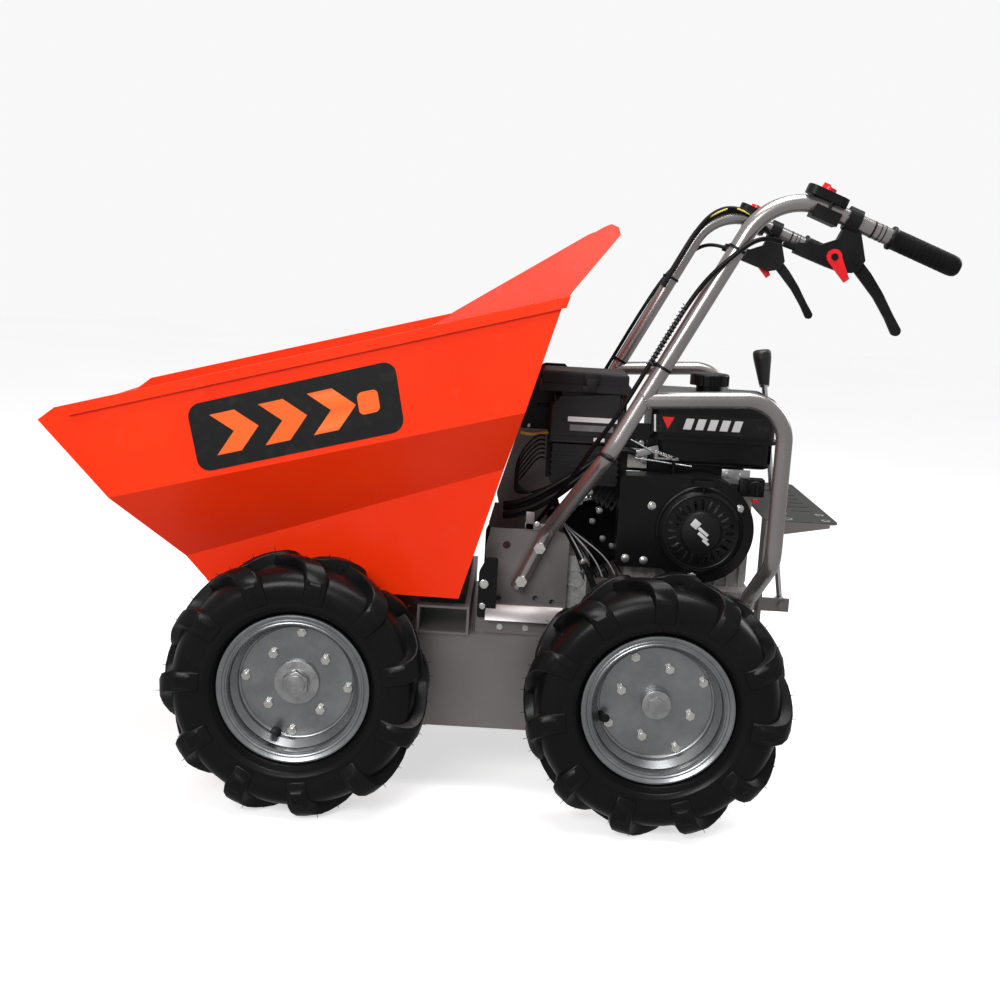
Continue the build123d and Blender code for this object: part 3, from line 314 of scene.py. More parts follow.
def lathe(shape, outline, centre, closed=False):
    """Spins (radius, y) pairs about the Y axis through a centre. A closed outline makes a ring."""
    verts = [shape.verts.new(Vector((r, y, 0)) + Vector(centre)) for r, y in outline]
    pairs = zip(verts, verts[1:] + verts[:1]) if closed else zip(verts, verts[1:])
    edges = [shape.edges.new(pair) for pair in pairs]
    bmesh.ops.spin(shape, geom=verts + edges, cent=centre, axis=(0, 1, 0), angle=2 * pi, steps=72,
                   use_merge=True, use_duplicate=False)


def build_tyre(name, axle_x, side, body, turn, stands_for):
    tyre = bmesh.new()
    outside = SIDEWALL + [(r, -y) for r, y in reversed(SIDEWALL[:-1])]
    inside = CARCASS_INSIDE + [(r, -y) for r, y in reversed(CARCASS_INSIDE[:-1])]
    lathe(tyre, outside + list(reversed(inside)), (0, 0, 0), closed=True)
    for i in range(TYRE_LUGS):
        add_lug(tyre, 2 * pi * i / TYRE_LUGS, 1)
        add_lug(tyre, 2 * pi * (i + 0.5) / TYRE_LUGS, -1)
    for i in range(TYRE_LUGS):
        angle = 2 * pi * (i + 0.37) / TYRE_LUGS
        foot = tyre_point(0.1480, 0.0520, angle)
        rod(tyre, foot, foot + Vector((0.0006 * sin(i * 5), 0.0050, 0.0008 * cos(i * 3))), HAIR_RADIUS, 5,
            far_radius=0.0004)
    for vert in tyre.verts:
        vert.co.y *= side
    place = Matrix.Translation((axle_x, side * WHEEL_Y, AXLE_Z)) @ Matrix.Rotation(radians(turn), 4, "Y")
    tyre.transform(place)
    # Hairs under the tyre lie flat on the ground.
    for vert in tyre.verts:
        vert.co.z = max(vert.co.z, 0.0002)
    settle(name, tyre, tyre_rubber, body, 38, stands_for)


# How far each pair of wheels has rolled, in degrees.
FRONT_TURN = 0
REAR_TURN = 12
FRONT_X = (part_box("front_tyres")[0].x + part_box("front_tyres")[1].x) / 2
REAR_X = (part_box("rear_tyres")[0].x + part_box("rear_tyres")[1].x) / 2
build_tyre("front_tyre_left", FRONT_X, 1, "front_wheels", FRONT_TURN, ["front_tyres"])
build_tyre("front_tyre_right", FRONT_X, -1, "front_wheels", FRONT_TURN, [])
build_tyre("rear_tyre_left", REAR_X, 1, "rear_wheels", REAR_TURN, ["rear_tyres"])
build_tyre("rear_tyre_right", REAR_X, -1, "rear_wheels", REAR_TURN, [])


# ---------- wheels ----------
# Two-piece rims pressed from sheet and zinc plated, bolted together round the disc and to each hub; the
# plating is cloudy, with a fine grain. Each rim has a rolled lip, an axle nut and a black rubber valve.
def plated(name, light, dark, roughness, cloud_scale=30, grain=0.0002, metallic=0.9):
    """Zinc or nickel plate: cloudy crystals, small stains, and a fine grain."""
    plate = Finish(name)
    cloud = plate.noise(cloud_scale, 5, 0.65).rise(0.32, 0.7)
    stain = plate.noise(cloud_scale * 0.3, 7, 0.7).rise(0.58, 0.8)
    fine = plate.noise(900, 2)
    colour = plate.mix(cloud, dark, light)
    colour = plate.mix(stain * 0.25, colour, (0.30, 0.28, 0.24))
    return plate.surface({
        "Base Color": colour,
        "Metallic": metallic,
        "Roughness": cloud * 0.1 + stain * 0.15 + roughness,
        "Normal": plate.bump(fine * 0.5 + cloud * 0.5, grain, 0.5),
    })


zinc = plated("zinc", (0.315, 0.325, 0.330), (0.245, 0.255, 0.260), 0.26, 18, 0.00012)
dress(zinc, "front_rims", "rear_rims")
bolt_zinc = plated("bolt_zinc", (0.78, 0.77, 0.74), (0.60, 0.59, 0.57), 0.2, 90)
dress(bolt_zinc, "front_wheel_bolts", "rear_wheel_bolts", "fasteners")
turned_steel = plated("turned_steel", (0.46, 0.46, 0.46), (0.34, 0.34, 0.35), 0.24, 60, 0.00008)
dress(turned_steel, "front_axle", "rear_axle", "output_shaft", "crankshaft", "throttle_lever")

valve_rubber = rubber("valve_rubber", 0.009, (0.03, 0.03, 0.03), 0.4)
# Radius and distance from the wheel's middle plane, round the rolled lip and round the disc's edge weld.
RIM_LIP = [(0.1012, 0.0296), (0.1024, 0.0318), (0.1040, 0.0322), (0.1052, 0.0316), (0.1066, 0.0330),
           (0.1086, 0.0334), (0.1100, 0.0325), (0.1120, 0.0338), (0.1150, 0.0356), (0.1172, 0.0352),
           (0.1182, 0.0336), (0.1178, 0.0312), (0.1168, 0.0300)]
DISC_SEAM = [(0.0868, -0.0091), (0.0885, -0.0066), (0.0905, -0.0060), (0.0915, -0.0066), (0.0915, -0.0091)]


def wheel_spot(axle_x, side, radius, angle, y):
    return Vector((axle_x + radius * cos(radians(angle)), side * y, AXLE_Z + radius * sin(radians(angle))))


HUB_FACE_Y = 0.2932
for word, axle_x, body, valve_at in (("front", FRONT_X, "front_wheels", -70),
                                     ("rear", REAR_X, "rear_wheels", -17)):
    nuts = bmesh.new()
    valves = bmesh.new()
    for side in (-1, 1):
        hub = Vector((axle_x, side * HUB_FACE_Y, AXLE_Z))
        out = Vector((0, side, 0))
        if word == "front":
            rod(nuts, hub, hub + out * 0.0020, 0.0350, 48, 0.0008)
            rod(nuts, hub + out * 0.0010, hub + out * 0.0150, 0.0225, 6, 0.0035)
            rod(nuts, hub + out * 0.0140, hub + out * 0.0160, 0.0150, 32, 0.0012)
        else:
            rod(nuts, hub, hub + out * 0.0128, 0.0236, 48, 0.0030)
            rod(nuts, hub + out * 0.0120, hub + out * 0.0150, 0.0140, 6, 0.0012)
        foot = wheel_spot(axle_x, side, 0.0905, valve_at, 0.290)
        head = wheel_spot(axle_x, side, 0.0800, valve_at, 0.312)
        rod(valves, foot, foot.lerp(head, 0.25), 0.0085, 20, 0.0015)
        rod(valves, foot.lerp(head, 0.2), foot.lerp(head, 0.72), 0.0062, 20, 0.0006, 0.0048)
        rod(valves, foot.lerp(head, 0.66), head, 0.0066, 10, 0.0010)
    settle(f"{word}_hub_nuts", nuts, turned_steel, body, 30)
    settle(f"{word}_valves", valves, valve_rubber, body, 30)
    lips = bmesh.new()
    for side in (-1, 1):
        ring = bmesh.new()
        lathe(ring, RIM_LIP, (0, 0, 0), closed=True)
        lathe(ring, DISC_SEAM, (0, 0, 0), closed=True)
        ring.transform(Matrix.Translation((axle_x, side * WHEEL_Y, AXLE_Z))
                       @ Matrix.Diagonal((1, side, 1, 1)))
        mesh = bpy.data.meshes.new("ring")
        ring.to_mesh(mesh)
        ring.free()
        lips.from_mesh(mesh)
        bpy.data.meshes.remove(mesh)
    settle(f"{word}_rim_lips", lips, zinc, body, 40)

# ---------- skip ----------
# Sheet steel folded and seam welded, powder coated a bright orange red with a slight orange peel. Each side
# has a printed vinyl label, and short welds stitch the splash plate and the folded rim to the tub.
skip_coat = powder_coat("skip_coat", (1.0, 0.040, 0.002), (0.94, 0.030, 0.001), 0.0, 0.30, 0.06, 0.0001,
                        0.02, 0.22)
dress(skip_coat, "skip_tub", "skip_lugs")
# The splash plate's coat is a paler, pinker copy of the skip's orange: a painted reflection, over its
# glossier clear coat.
splash_reflection_coat = powder_coat("splash_reflection_coat", (1.0, 0.095, 0.060), (0.96, 0.060, 0.030), 0.0, 0.22, 0.3,
                          0.0001, 0.05, 0.4)
dress(splash_reflection_coat, "splash_guard")

# The wheels stand evenly either side of this X, which is the middle of the wheelbase.
MID_X = (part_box("front_axle")[0].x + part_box("front_axle")[1].x
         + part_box("rear_axle")[0].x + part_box("rear_axle")[1].x) / 4


def at(x, y, z):
    """Point from millimetres measured from the middle of the wheelbase, on the ground."""
    return Vector((MID_X + x / 1000, y / 1000, z / 1000))


def outline_plate(shape, corners, y, thickness, radius, side=1, segments=6):
    """Flat plate in the XZ plane with rounded corners, its back at y, thickness outwards."""
    verts = [shape.verts.new(Vector((p.x, 0, p.z))) for p in corners]
    face = shape.faces.new(verts)
    if radius:
        bmesh.ops.bevel(shape, geom=verts, offset=radius, offset_type="OFFSET", segments=segments,
                        profile=0.5, affect="VERTICES", material=-1)
        # The plate's own face is the largest one that still lies at Y 0: earlier plates have moved away.
        flat = [f for f in shape.faces if len(f.verts) >= len(corners) * segments and f.calc_area() > 0
                and abs(f.verts[0].co.y) < 1e-9]
        face = max(flat, key=lambda f: len(f.verts))
    back = list(face.verts)
    grown = bmesh.ops.extrude_face_region(shape, geom=[face])
    front = [g for g in grown["geom"] if isinstance(g, bmesh.types.BMVert)]
    bmesh.ops.translate(shape, verts=front, vec=(0, side * thickness, 0))
    whole = list(set(front) | {v for v in back if v.is_valid})
    bmesh.ops.translate(shape, verts=whole, vec=(0, side * y, 0))


def printed(name, base, roughness=0.3, coat=0.5):
    """Printed film: flat ink under a clear layer, with fine dust and hairline scratches."""
    film = Finish(name)
    hair = film.noise(150, 3, 0.6, (1, 1, 6)).rise(0.66, 0.8)
    dust = film.noise(40, 5, 0.7).rise(0.5, 0.8)
    colour = film.mix(dust * 0.12 + hair * 0.08, base, [min(1, c * 0.8 + 0.12) for c in base])
    return film.surface({
        "Base Color": colour,
        "Roughness": dust * 0.15 + hair * 0.1 + roughness,
        "Coat Weight": coat,
        "Specular IOR Level": 0.25,
        "Normal": film.bump(hair * 0.4 + film.noise(500, 1) * 0.2, 0.00004, 0.5),
    })


black_film = printed("black_film", (0.004, 0.004, 0.004), 0.5, 0.0)
orange_film = printed("orange_film", (0.90, 0.14, 0.02), 0.5, 0.0)
# Half the skip's outside width, how thick the label and its marks are, and where the marks' backs lie.
SKIP_HALF = 0.272
LABEL_THICK = 0.0005
MARK_THICK = 0.0003
MARK_Y = SKIP_HALF + 0.0006
# Corners of the label, front upper first, in millimetres from the middle of the wheelbase.
LABEL = [(464, 625), (150, 712), (129, 606), (441, 523)]


def on_label(across, up):
    """Point on the label: across runs from its front edge to its rear one, up from its foot to its top."""
    (ax, az), (bx, bz), (cx, cz), (dx, dz) = LABEL
    top_x, top_z = ax + (bx - ax) * across, az + (bz - az) * across
    low_x, low_z = dx + (cx - dx) * across, dz + (cz - dz) * across
    return at(low_x + (top_x - low_x) * up, 0, low_z + (top_z - low_z) * up)


for side, hand in ((1, "left"), (-1, "right")):
    label = bmesh.new()
    outline_plate(label, [at(x, 0, z) for x, z in LABEL], SKIP_HALF + 0.0001, LABEL_THICK, 0.020,
                  side, 8)
    settle(f"skip_label_{hand}", label, black_film, "skip")
    mark = bmesh.new()
    for i in range(3):
        # Each chevron is an upper and a lower bar that lean towards its point.
        left = 0.10 + 0.235 * i
        for foot, head, lean in ((0.20, 0.50, 0.0), (0.50, 0.80, 0.10)):
            outline_plate(mark, [on_label(left + 0.10 - lean, head), on_label(left + 0.22 - lean, head),
                                 on_label(left + 0.12 + lean, foot), on_label(left + lean, foot)],
                          MARK_Y, MARK_THICK, 0, side)
    outline_plate(mark, [on_label(0.80, 0.66), on_label(0.90, 0.66), on_label(0.90, 0.34),
                         on_label(0.80, 0.34)], MARK_Y, MARK_THICK, 0.008, side, 6)
    settle(f"skip_mark_{hand}", mark, orange_film, "skip")


# Distance from one scale of a weld bead to the next.
BEAD_PITCH = 0.0035


def bead(shape, start, end, radius):
    """Weld bead: a row of small overlapping scales that swell and shrink a little."""
    count = max(2, round((end - start).length / BEAD_PITCH))
    for i in range(count):
        spot = start.lerp(end, (i + 0.5) / count)
        swell = radius * (1 + 0.12 * sin(i * 2.4))
        place = Matrix.Translation(spot) @ Matrix.Diagonal((swell, swell, swell, 1))
        bmesh.ops.create_icosphere(shape, subdivisions=1, radius=1, matrix=place)


painted_weld = powder_coat("painted_weld", (1.0, 0.07, 0.01), (0.80, 0.04, 0.004), 0.0, 0.34, 0.3, 0.0002)
seams = bmesh.new()
for side in (-1, 1):
    for i in range(5):
        # The splash plate's foot falls 0.2706 mm for each millimetre forward.
        x = -98 + 44 * i
        z = 819.6 - 0.2706 * (x + 102)
        bead(seams, at(x, side * 266.4, z), at(x + 16, side * 266.4, z - 4.3), 0.0019)
    bead(seams, at(640, side * 273.5, 612), at(560, side * 273.5, 633.5), 0.0015)
for i in range(7):
    y = -230 + 70 * i
    bead(seams, at(-101.5, y, 822.5), at(-101.5, y + 22, 822.5), 0.0019)
settle("skip_welds", seams, painted_weld, "skip", 60)

# ---------- engine ----------
# A one-cylinder petrol engine on a cast gearbox: covers, tank and silencer are pressed and enamelled black,
# the air cleaner, cap and switch are moulded. Its labels and its starter's badge are printed film.
black_enamel = powder_coat("black_enamel", (0.0050, 0.0050, 0.0055), (0.003, 0.003, 0.0034), 0.0, 0.27, 0.04,
                           0.00006, 0.01, 0.2)
dress(black_enamel, "fan_shroud", "recoil_cover", "fuel_tank", "belt_guard", "silencer")
cast = plated("cast", (0.50, 0.49, 0.47), (0.40, 0.39, 0.375), 0.48, 240, 0.0006, 0.75)
dress(cast, "engine_block", "carburettor")
# The cylinder and its head cover take a near-black cast finish: painted shade for the dark space behind the
# fan shroud.
shade_dark_cast = plated("shade_dark_cast", (0.050, 0.050, 0.052), (0.020, 0.020, 0.021), 0.5, 240, 0.0006, 0.4)
dress(shade_dark_cast, "cylinder", "head_cover")
case_cast = plated("case_cast", (0.36, 0.35, 0.34), (0.27, 0.265, 0.26), 0.55, 200, 0.0006, 0.5)
dress(case_cast, "gearbox_housing")
oily_steel = plated("oily_steel", (0.16, 0.155, 0.15), (0.09, 0.087, 0.085), 0.38, 120)
dress(oily_steel, "axle_bearings", "driven_pulley", "drive_chains")


def moulded(name, base, roughness, coat=0.0):
    """Injection moulding: a fine spark texture, faint flow clouding, and a few scuffs."""
    plastic = Finish(name)
    flow = plastic.noise(14, 3).rise(0.35, 0.7)
    scuff = plastic.noise(70, 6, 0.75, (1, 3, 1)).rise(0.6, 0.8)
    light = [min(1, c * 1.35 + 0.003) for c in base]
    colour = plastic.mix(scuff * 0.2, plastic.mix(flow, base, light), [min(1, c * 2 + 0.012) for c in base])
    return plastic.surface({
        "Base Color": colour,
        "Roughness": scuff * 0.12 + flow * 0.05 + roughness,
        "Coat Weight": coat,
        "Specular IOR Level": 0.16,
        "Normal": plastic.bump(plastic.noise(1100, 2), 0.00012, 0.6),
    })


black_plastic = moulded("black_plastic", (0.0048, 0.0048, 0.0052), 0.38)
dress(black_plastic, "fuel_cap", "starter_grip", "engine_switch", "switch_key")
grey_plastic = moulded("grey_plastic", (0.013, 0.013, 0.0145), 0.45)
dress(grey_plastic, "air_cleaner_base", "air_cleaner_cover")


def slab(shape, centre, size, bevel, turn=None):
    """Rectangular block about a centre, turned, with its edges rounded."""
    place = Matrix.Translation(centre) @ (turn or Matrix()) @ Matrix.Diagonal((*size, 1))
    made = bmesh.ops.create_cube(shape, size=1, matrix=place)
    edges = {e for v in made["verts"] for e in v.link_edges}
    bmesh.ops.bevel(shape, geom=list(edges), offset=bevel, segments=2, profile=0.5, affect="EDGES",
                    material=-1)


pale_film = printed("pale_film", (0.62, 0.62, 0.62), 0.4)
red_film = printed("red_film", (0.70, 0.012, 0.012), 0.35)
grey_film = printed("grey_film", (0.13, 0.13, 0.135), 0.45)
FILM_THICK = 0.0004
badge = bmesh.new()
hub = at(-345, 172, 455)
lathe(badge, [(0, 0.0), (0.0305, 0.0), (0.0312, 0.0005), (0.0312, 0.0012), (0.0300, 0.0017), (0, 0.0017)],
      hub)
settle("starter_badge", badge, black_film, "chassis")
bars = bmesh.new()
for dx, dz, width, height in ((10, 14, 13, 13), (-3, 2, 20, 5), (-3, -6, 20, 5), (-8, -15, 13, 4)):
    slab(bars, hub + Vector((dx / 1000, 0.0019, dz / 1000)), (width / 1000, 0.0005, height / 1000), 0.0001,
         Matrix.Rotation(radians(-38), 4, "Y"))
settle("starter_badge_bars", bars, pale_film, "chassis")
ring = bmesh.new()
lathe(ring, [(0.0690, 0.0), (0.0712, 0.0008), (0.0722, 0.0024), (0.0712, 0.0040), (0.0690, 0.0048)],
      at(-345, 150.2, 455), closed=True)
lathe(ring, [(0.0575, 0.0), (0.0590, 0.0012), (0.0605, 0.0012), (0.0620, 0.0)], at(-345, 167.6, 455),
      closed=True)
VENTS = 24
for i in range(VENTS):
    angle = 2 * pi * (i + 0.5) / VENTS
    rise = Vector((cos(angle), 0, sin(angle)))
    slab(ring, at(-345, 167.4, 455) + rise * 0.045, (0.0150, 0.0016, 0.0030), 0.0006,
         Matrix.Rotation(-angle, 4, "Y"))
settle("starter_ribs", ring, black_enamel, "chassis", 40)

screws = bmesh.new()
out = Vector((0, 1, 0))
for x, z in ((-265, 491), (-407, 494), (-338, 381), (-228, 402), (-258, 400)):
    spot = at(x, 150, z)
    rod(screws, spot, spot + out * 0.0014, 0.0068, 24, 0.0003)
    rod(screws, spot + out * 0.0012, spot + out * 0.0062, 0.0048, 6, 0.0006)
settle("engine_screws", screws, bolt_zinc, "chassis", 30)

# The tank's label lies on the tank's flat side, which its seam stands 4 mm proud of.
LABEL_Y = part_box("fuel_tank")[1].y - 0.0040
film = bmesh.new()
outline_plate(film, [at(-262, 0, 634), at(-455, 0, 634), at(-455, 0, 604), at(-262, 0, 604)], LABEL_Y,
              FILM_THICK, 0.004)
settle("tank_label", film, black_film, "chassis")
marks = bmesh.new()
for i in range(5):
    x = -318 - 20 * i
    outline_plate(marks, [at(x, 0, 629), at(x - 13, 0, 629), at(x - 8, 0, 611), at(x + 5, 0, 611)],
                  LABEL_Y + FILM_THICK, MARK_THICK, 0)
outline_plate(marks, [at(-264, 0, 633), at(-267, 0, 633), at(-269, 0, 605), at(-266, 0, 605)],
              LABEL_Y + FILM_THICK, MARK_THICK, 0)
settle("tank_marks", marks, pale_film, "chassis")
marks = bmesh.new()
outline_plate(marks, [at(-278, 0, 630), at(-298, 0, 630), at(-288, 0, 610)], LABEL_Y + FILM_THICK,
              MARK_THICK, 0)
settle("tank_red_mark", marks, red_film, "chassis")

CLEANER_FACE_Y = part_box("air_cleaner_cover")[1].y - 0.002
for name, low, high, ink in (("cleaner_label_pale", (-122, 616), (-203, 624), pale_film),
                             ("cleaner_label_grey", (-126, 601), (-197, 611), grey_film),
                             ("cleaner_tab", (-166, 585), (-184, 591), pale_film)):
    label = bmesh.new()
    outline_plate(label, [at(low[0], 0, high[1]), at(high[0], 0, high[1]), at(high[0], 0, low[1]),
                          at(low[0], 0, low[1])], CLEANER_FACE_Y, FILM_THICK, 0.001, 1, 3)
    settle(name, label, ink, "chassis")
lip = bmesh.new()
slab(lip, at(-154, 109.2, 594.5), (0.121, 0.004, 0.0022), 0.0008)
slab(lip, at(-154, 109.0, 583.0), (0.124, 0.005, 0.0035), 0.0012)
for x in (-100, -209):
    slab(lip, at(x, 107.5, 622), (0.0025, 0.004, 0.070), 0.0008)
slab(lip, at(-157, 110.5, 687), (0.026, 0.005, 0.017), 0.0016)
slab(lip, at(-157, 112.4, 676), (0.018, 0.0045, 0.022), 0.0014)
slab(lip, at(-148, 113.8, 670), (0.012, 0.003, 0.010), 0.001)
settle("cleaner_ribs", lip, grey_plastic, "chassis", 40)

# ---------- controls ----------
# Moulded perches, levers, red catches and thumb levers clamp to the tubes beside ribbed rubber grips, which
# are pushed over the tubes' ends. The gear lever is a chromed rod with a black knob pressed on.
dress(black_plastic, "perches", "thumb_controls", "lever_left", "lever_right")
red_plastic = moulded("red_plastic", (0.72, 0.012, 0.018), 0.25, 0.3)
dress(red_plastic, "catch_left", "catch_right", "thumb_lever_left", "thumb_lever_right")
soft_rubber = rubber("soft_rubber", 0.0045, (0.025, 0.025, 0.024), 0.42)
dress(soft_rubber, "grips", "rest_pads", "drive_belt")

stick = Finish("gear_stick")
KNOB_HEIGHT = 0.063
KNOB_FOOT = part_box("gear_lever")[1].z - KNOB_HEIGHT
knob = stick.axis("Z").rise(KNOB_FOOT - 0.0005, KNOB_FOOT + 0.0005)
cloud = stick.noise(40, 5).rise(0.3, 0.7)
chrome = stick.mix(cloud, (0.60, 0.60, 0.61), (0.72, 0.72, 0.72))
dress(stick.surface({
    "Base Color": stick.mix(knob, chrome, (0.010, 0.010, 0.010)),
    "Metallic": 1 - knob,
    "Roughness": knob * 0.28 + cloud * 0.06 + 0.12,
    "Normal": stick.bump(stick.noise(900, 2), 0.00006, 0.5),
}), "gear_lever")

# Each handle tube lies this far from the middle, and runs straight under its grip from its upper bend to
# its end: X and Z in millimetres.
TUBE_Y = 313
BEND = (-393, 995)
TUBE_END = (-661, 893.4)
GRIP_START = (-561, 931.3)
along_grip = Vector((TUBE_END[0] - BEND[0], 0, TUBE_END[1] - BEND[1])).normalized()
# Distance from a grip's inner end and radius: collar, ribbed barrel and domed end.
GRIP = [(0.0, 0.0128), (0.0, 0.0165), (0.0012, 0.0175), (0.0048, 0.0175), (0.0062, 0.0163), (0.0085, 0.0153)]
for i in range(9):
    start = 0.019 + 0.008 * i
    GRIP += [(start, 0.0155), (start + 0.0005, 0.0148), (start + 0.0017, 0.0148), (start + 0.0022, 0.0155)]
GRIP += [(0.0980, 0.0155), (0.1040, 0.0148), (0.1088, 0.0128), (0.1116, 0.0094), (0.1129, 0.0048),
         (0.1130, 0.0), (0.1000, 0.0), (0.1000, 0.0128)]
for side, hand in ((1, "left"), (-1, "right")):
    grip = bmesh.new()
    lathe(grip, [(radius, -out) for out, radius in GRIP], (0, 0, 0), closed=True)
    place = Matrix.Translation(at(GRIP_START[0], side * TUBE_Y, GRIP_START[1]))
    grip.transform(place @ turn_to(along_grip) @ Matrix.Rotation(radians(-90), 4, "X"))
    settle(f"grip_{hand}", grip, soft_rubber, "chassis", 40, ["grips"] if side == 1 else [])


def band(shape, centre, direction, radius, width, thickness):
    """Flat ring round a tube or cable."""
    ring = bmesh.new()
    lathe(ring, [(radius, -width / 2), (radius + thickness, -width / 2), (radius + thickness, width / 2),
                 (radius, width / 2)], (0, 0, 0), closed=True)
    ring.transform(Matrix.Translation(centre) @ turn_to(direction) @ Matrix.Rotation(radians(90), 4, "X"))
    mesh = bpy.data.meshes.new("band")
    ring.to_mesh(mesh)
    ring.free()
    shape.from_mesh(mesh)
    bpy.data.meshes.remove(mesh)


# Three dark bands wrap each tube between its controls and its grip.
marks = bmesh.new()
for side in (-1, 1):
    for x, wide in ((-536, 0.0030), (-545, 0.0016), (-551, 0.0016)):
        z = BEND[1] + (x - BEND[0]) * (TUBE_END[1] - BEND[1]) / (TUBE_END[0] - BEND[0])
        band(marks, at(x, side * TUBE_Y, z), along_grip, 0.0126, wide, 0.0003)
settle("tube_marks", marks, black_film, "chassis", 30)


# ---------- heat shield ----------
# A black pressed shield stands between the engine and the skip, spot welded to a grey folded foot and
# screwed down on the gearbox; two swaged ribs stiffen it. Its black is partly painted shade for that dark
# gap.
def beside_skip(z):
    """X in millimetres just behind the sloping rear wall of the skip at a height."""
    return 29 - (z - 332) / 3.485


shield = bmesh.new()
outline_plate(shield, [at(beside_skip(700), 0, 700), at(-120, 0, 700), at(-120, 0, 586),
                       at(beside_skip(586), 0, 586)], 0.0145, 0.0015, 0.006, -1, 4)
for z in (668, 628):
    slab(shield, at((beside_skip(z) - 112) / 2, -14.3, z), (0.024, 0.003, 0.006), 0.0014)
slab(shield, at(beside_skip(640) - 40, -19.5, 699.3), (0.034, 0.010, 0.0015), 0.0005)
settle("heat_shield", shield, black_enamel, "chassis", 35)
foot = bmesh.new()
outline_plate(foot, [at(beside_skip(596), 0, 596), at(-118, 0, 596), at(-96, 0, 394), at(-30, 0, 394),
                     at(beside_skip(470), 0, 470)], 0.0160, 0.0020, 0.004, -1, 4)
slab(foot, at(-63, -24.5, 394.0), (0.058, 0.018, 0.0020), 0.0006)
settle("shield_foot", foot, frame_coat, "chassis", 35)
rivets = bmesh.new()
for x, z in ((-60, 591), (-100, 591), (-82, 690), (-108, 690)):
    rod(rivets, at(x, -14.8, z), at(x, -12.6, z), 0.0036, 20, 0.0009)
for x in (-84, -42):
    rod(rivets, at(x, -26, 394.8), at(x, -26, 399.0), 0.0048, 6, 0.0007)
settle("shield_rivets", rivets, bolt_zinc, "chassis", 30)


# ---------- hoses, leads and cables ----------
# Black hoses, a fan of thin sheathed cables down to the gearbox, looped leads behind the skip and the two
# brake cables; they are clipped at both ends and held to the tubes by nylon ties.
def strand(name, points, radius, material, resolution=8):
    """Round cable on a smooth curve drawn by its control points, all in millimetres."""
    curve = bpy.data.curves.new(name, "CURVE")
    curve.dimensions = "3D"
    curve.bevel_depth = radius / 1000
    curve.bevel_resolution = 3
    curve.resolution_u = resolution
    curve.use_fill_caps = True
    line = curve.splines.new("NURBS")
    line.points.add(len(points) - 1)
    for point, spot in zip(line.points, points):
        point.co = (*at(*spot), 1.0)
    line.order_u = 4 if len(points) > 3 else 3
    line.use_endpoint_u = True
    curve.materials.append(material)
    cable = bpy.data.objects.new(name, curve)
    bpy.context.scene.collection.objects.link(cable)
    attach(cable, "chassis")
    return cable


cable_skin = rubber("cable_skin", 0.004, (0.02, 0.02, 0.02), 0.28)
dress(cable_skin, "control_cables")
clear_sheath = moulded("clear_sheath", (0.34, 0.34, 0.35), 0.3, 0.3)
smoke_sheath = moulded("smoke_sheath", (0.07, 0.07, 0.072), 0.25, 0.3)
yellow_sheath = moulded("yellow_sheath", (0.62, 0.52, 0.10), 0.35, 0.2)
hose_rubber = rubber("hose_rubber", 0.007, (0.03, 0.03, 0.03), 0.3)
for i in range(6):
    sag = i * 7
    strand(f"loop_lead_{i}", [(-88, 66 + i * 2, 584 - sag), (-78, 72 + i * 2, 590 - sag),
                              (-58, 76, 572 - sag * 1.5), (-42, 74, 540 - sag), (-40, 76, 505 - sag * 0.5),
                              (-62, 82, 486), (-96, 88, 492 + i * 2), (-120, 92, 505 + i * 2)],
           1.5, cable_skin)
for i, (dy, dz, thick) in enumerate(((0, 0, 5.0), (11, 9, 4.2), (4, -14, 4.6), (18, -6, 3.6))):
    strand(f"hose_{i}", [(-26, 84 + dy, 462 + dz), (-52, 96 + dy, 468 + dz), (-86, 104 + dy, 486 + dz),
                         (-122, 108 + dy, 512 + dz), (-156, 108 + dy, 538 + dz * 0.5),
                         (-184, 104 + dy, 566 + dz * 0.3), (-212, 96 + dy, 578 + dz * 0.2),
                         (-236, 88 + dy, 568)], thick, hose_rubber)
strand("vent_hose", [(-104, 60, 500), (-112, 84, 470), (-128, 100, 440), (-150, 108, 404), (-172, 110, 366),
                     (-186, 108, 334)], 5.5, hose_rubber)
for i in range(7):
    strand(f"fan_cable_{i}", [(-112, 118, 468), (-122, 118, 452), (-132 - 3 * i, 116 + i * 0.8, 432),
                              (-146 - 7 * i, 114 + i, 404 + i), (-160 - 9 * i, 112, 372 + 3 * i),
                              (-166 - 10 * i, 108, 350 + 3 * i)],
           1.3, clear_sheath if i % 2 else cable_skin)
strand("yellow_lead", [(-47, 62, 588), (-60, 66, 584), (-74, 66, 586), (-92, 62, 590)], 2.6, yellow_sheath)
strand("plug_lead", [(-130, 52, 520), (-108, 66, 498), (-96, 60, 470), (-118, 40, 458), (-150, 20, 470)],
       3.4, hose_rubber)
for i in range(3):
    strand(f"loom_far_{i}", [(-300, -300 + i * 5, 838), (-326, -299 + i * 5, 888),
                             (-352, -300 + i * 5, 938 + i * 3), (-386, -302 + i * 4, 978 + i * 3),
                             (-428, -304 + i * 4, 991 + i * 2), (-470, -300 + i * 4, 974),
                             (-496, -298 + i * 4, 944)], 4.6 - i * 0.6, hose_rubber)
strand("loom_stripe_0", [(-372, -292, 966), (-390, -292, 979), (-410, -293, 987)], 2.0, yellow_sheath)
strand("loom_stripe_1", [(-428, -292, 988), (-444, -292, 984), (-458, -292, 976)], 1.6, yellow_sheath)
strand("kill_lead", [(-430, 312, 962), (-404, 300, 962), (-376, 298, 956), (-358, 297, 930), (-326, 297, 868),
                     (-286, 297, 792), (-246, 297, 716), (-208, 292, 646), (-186, 250, 600), (-176, 190, 565),
                     (-170, 140, 540)], 2.2, cable_skin)
SLEEVE_TURNS = 16
spiral = []
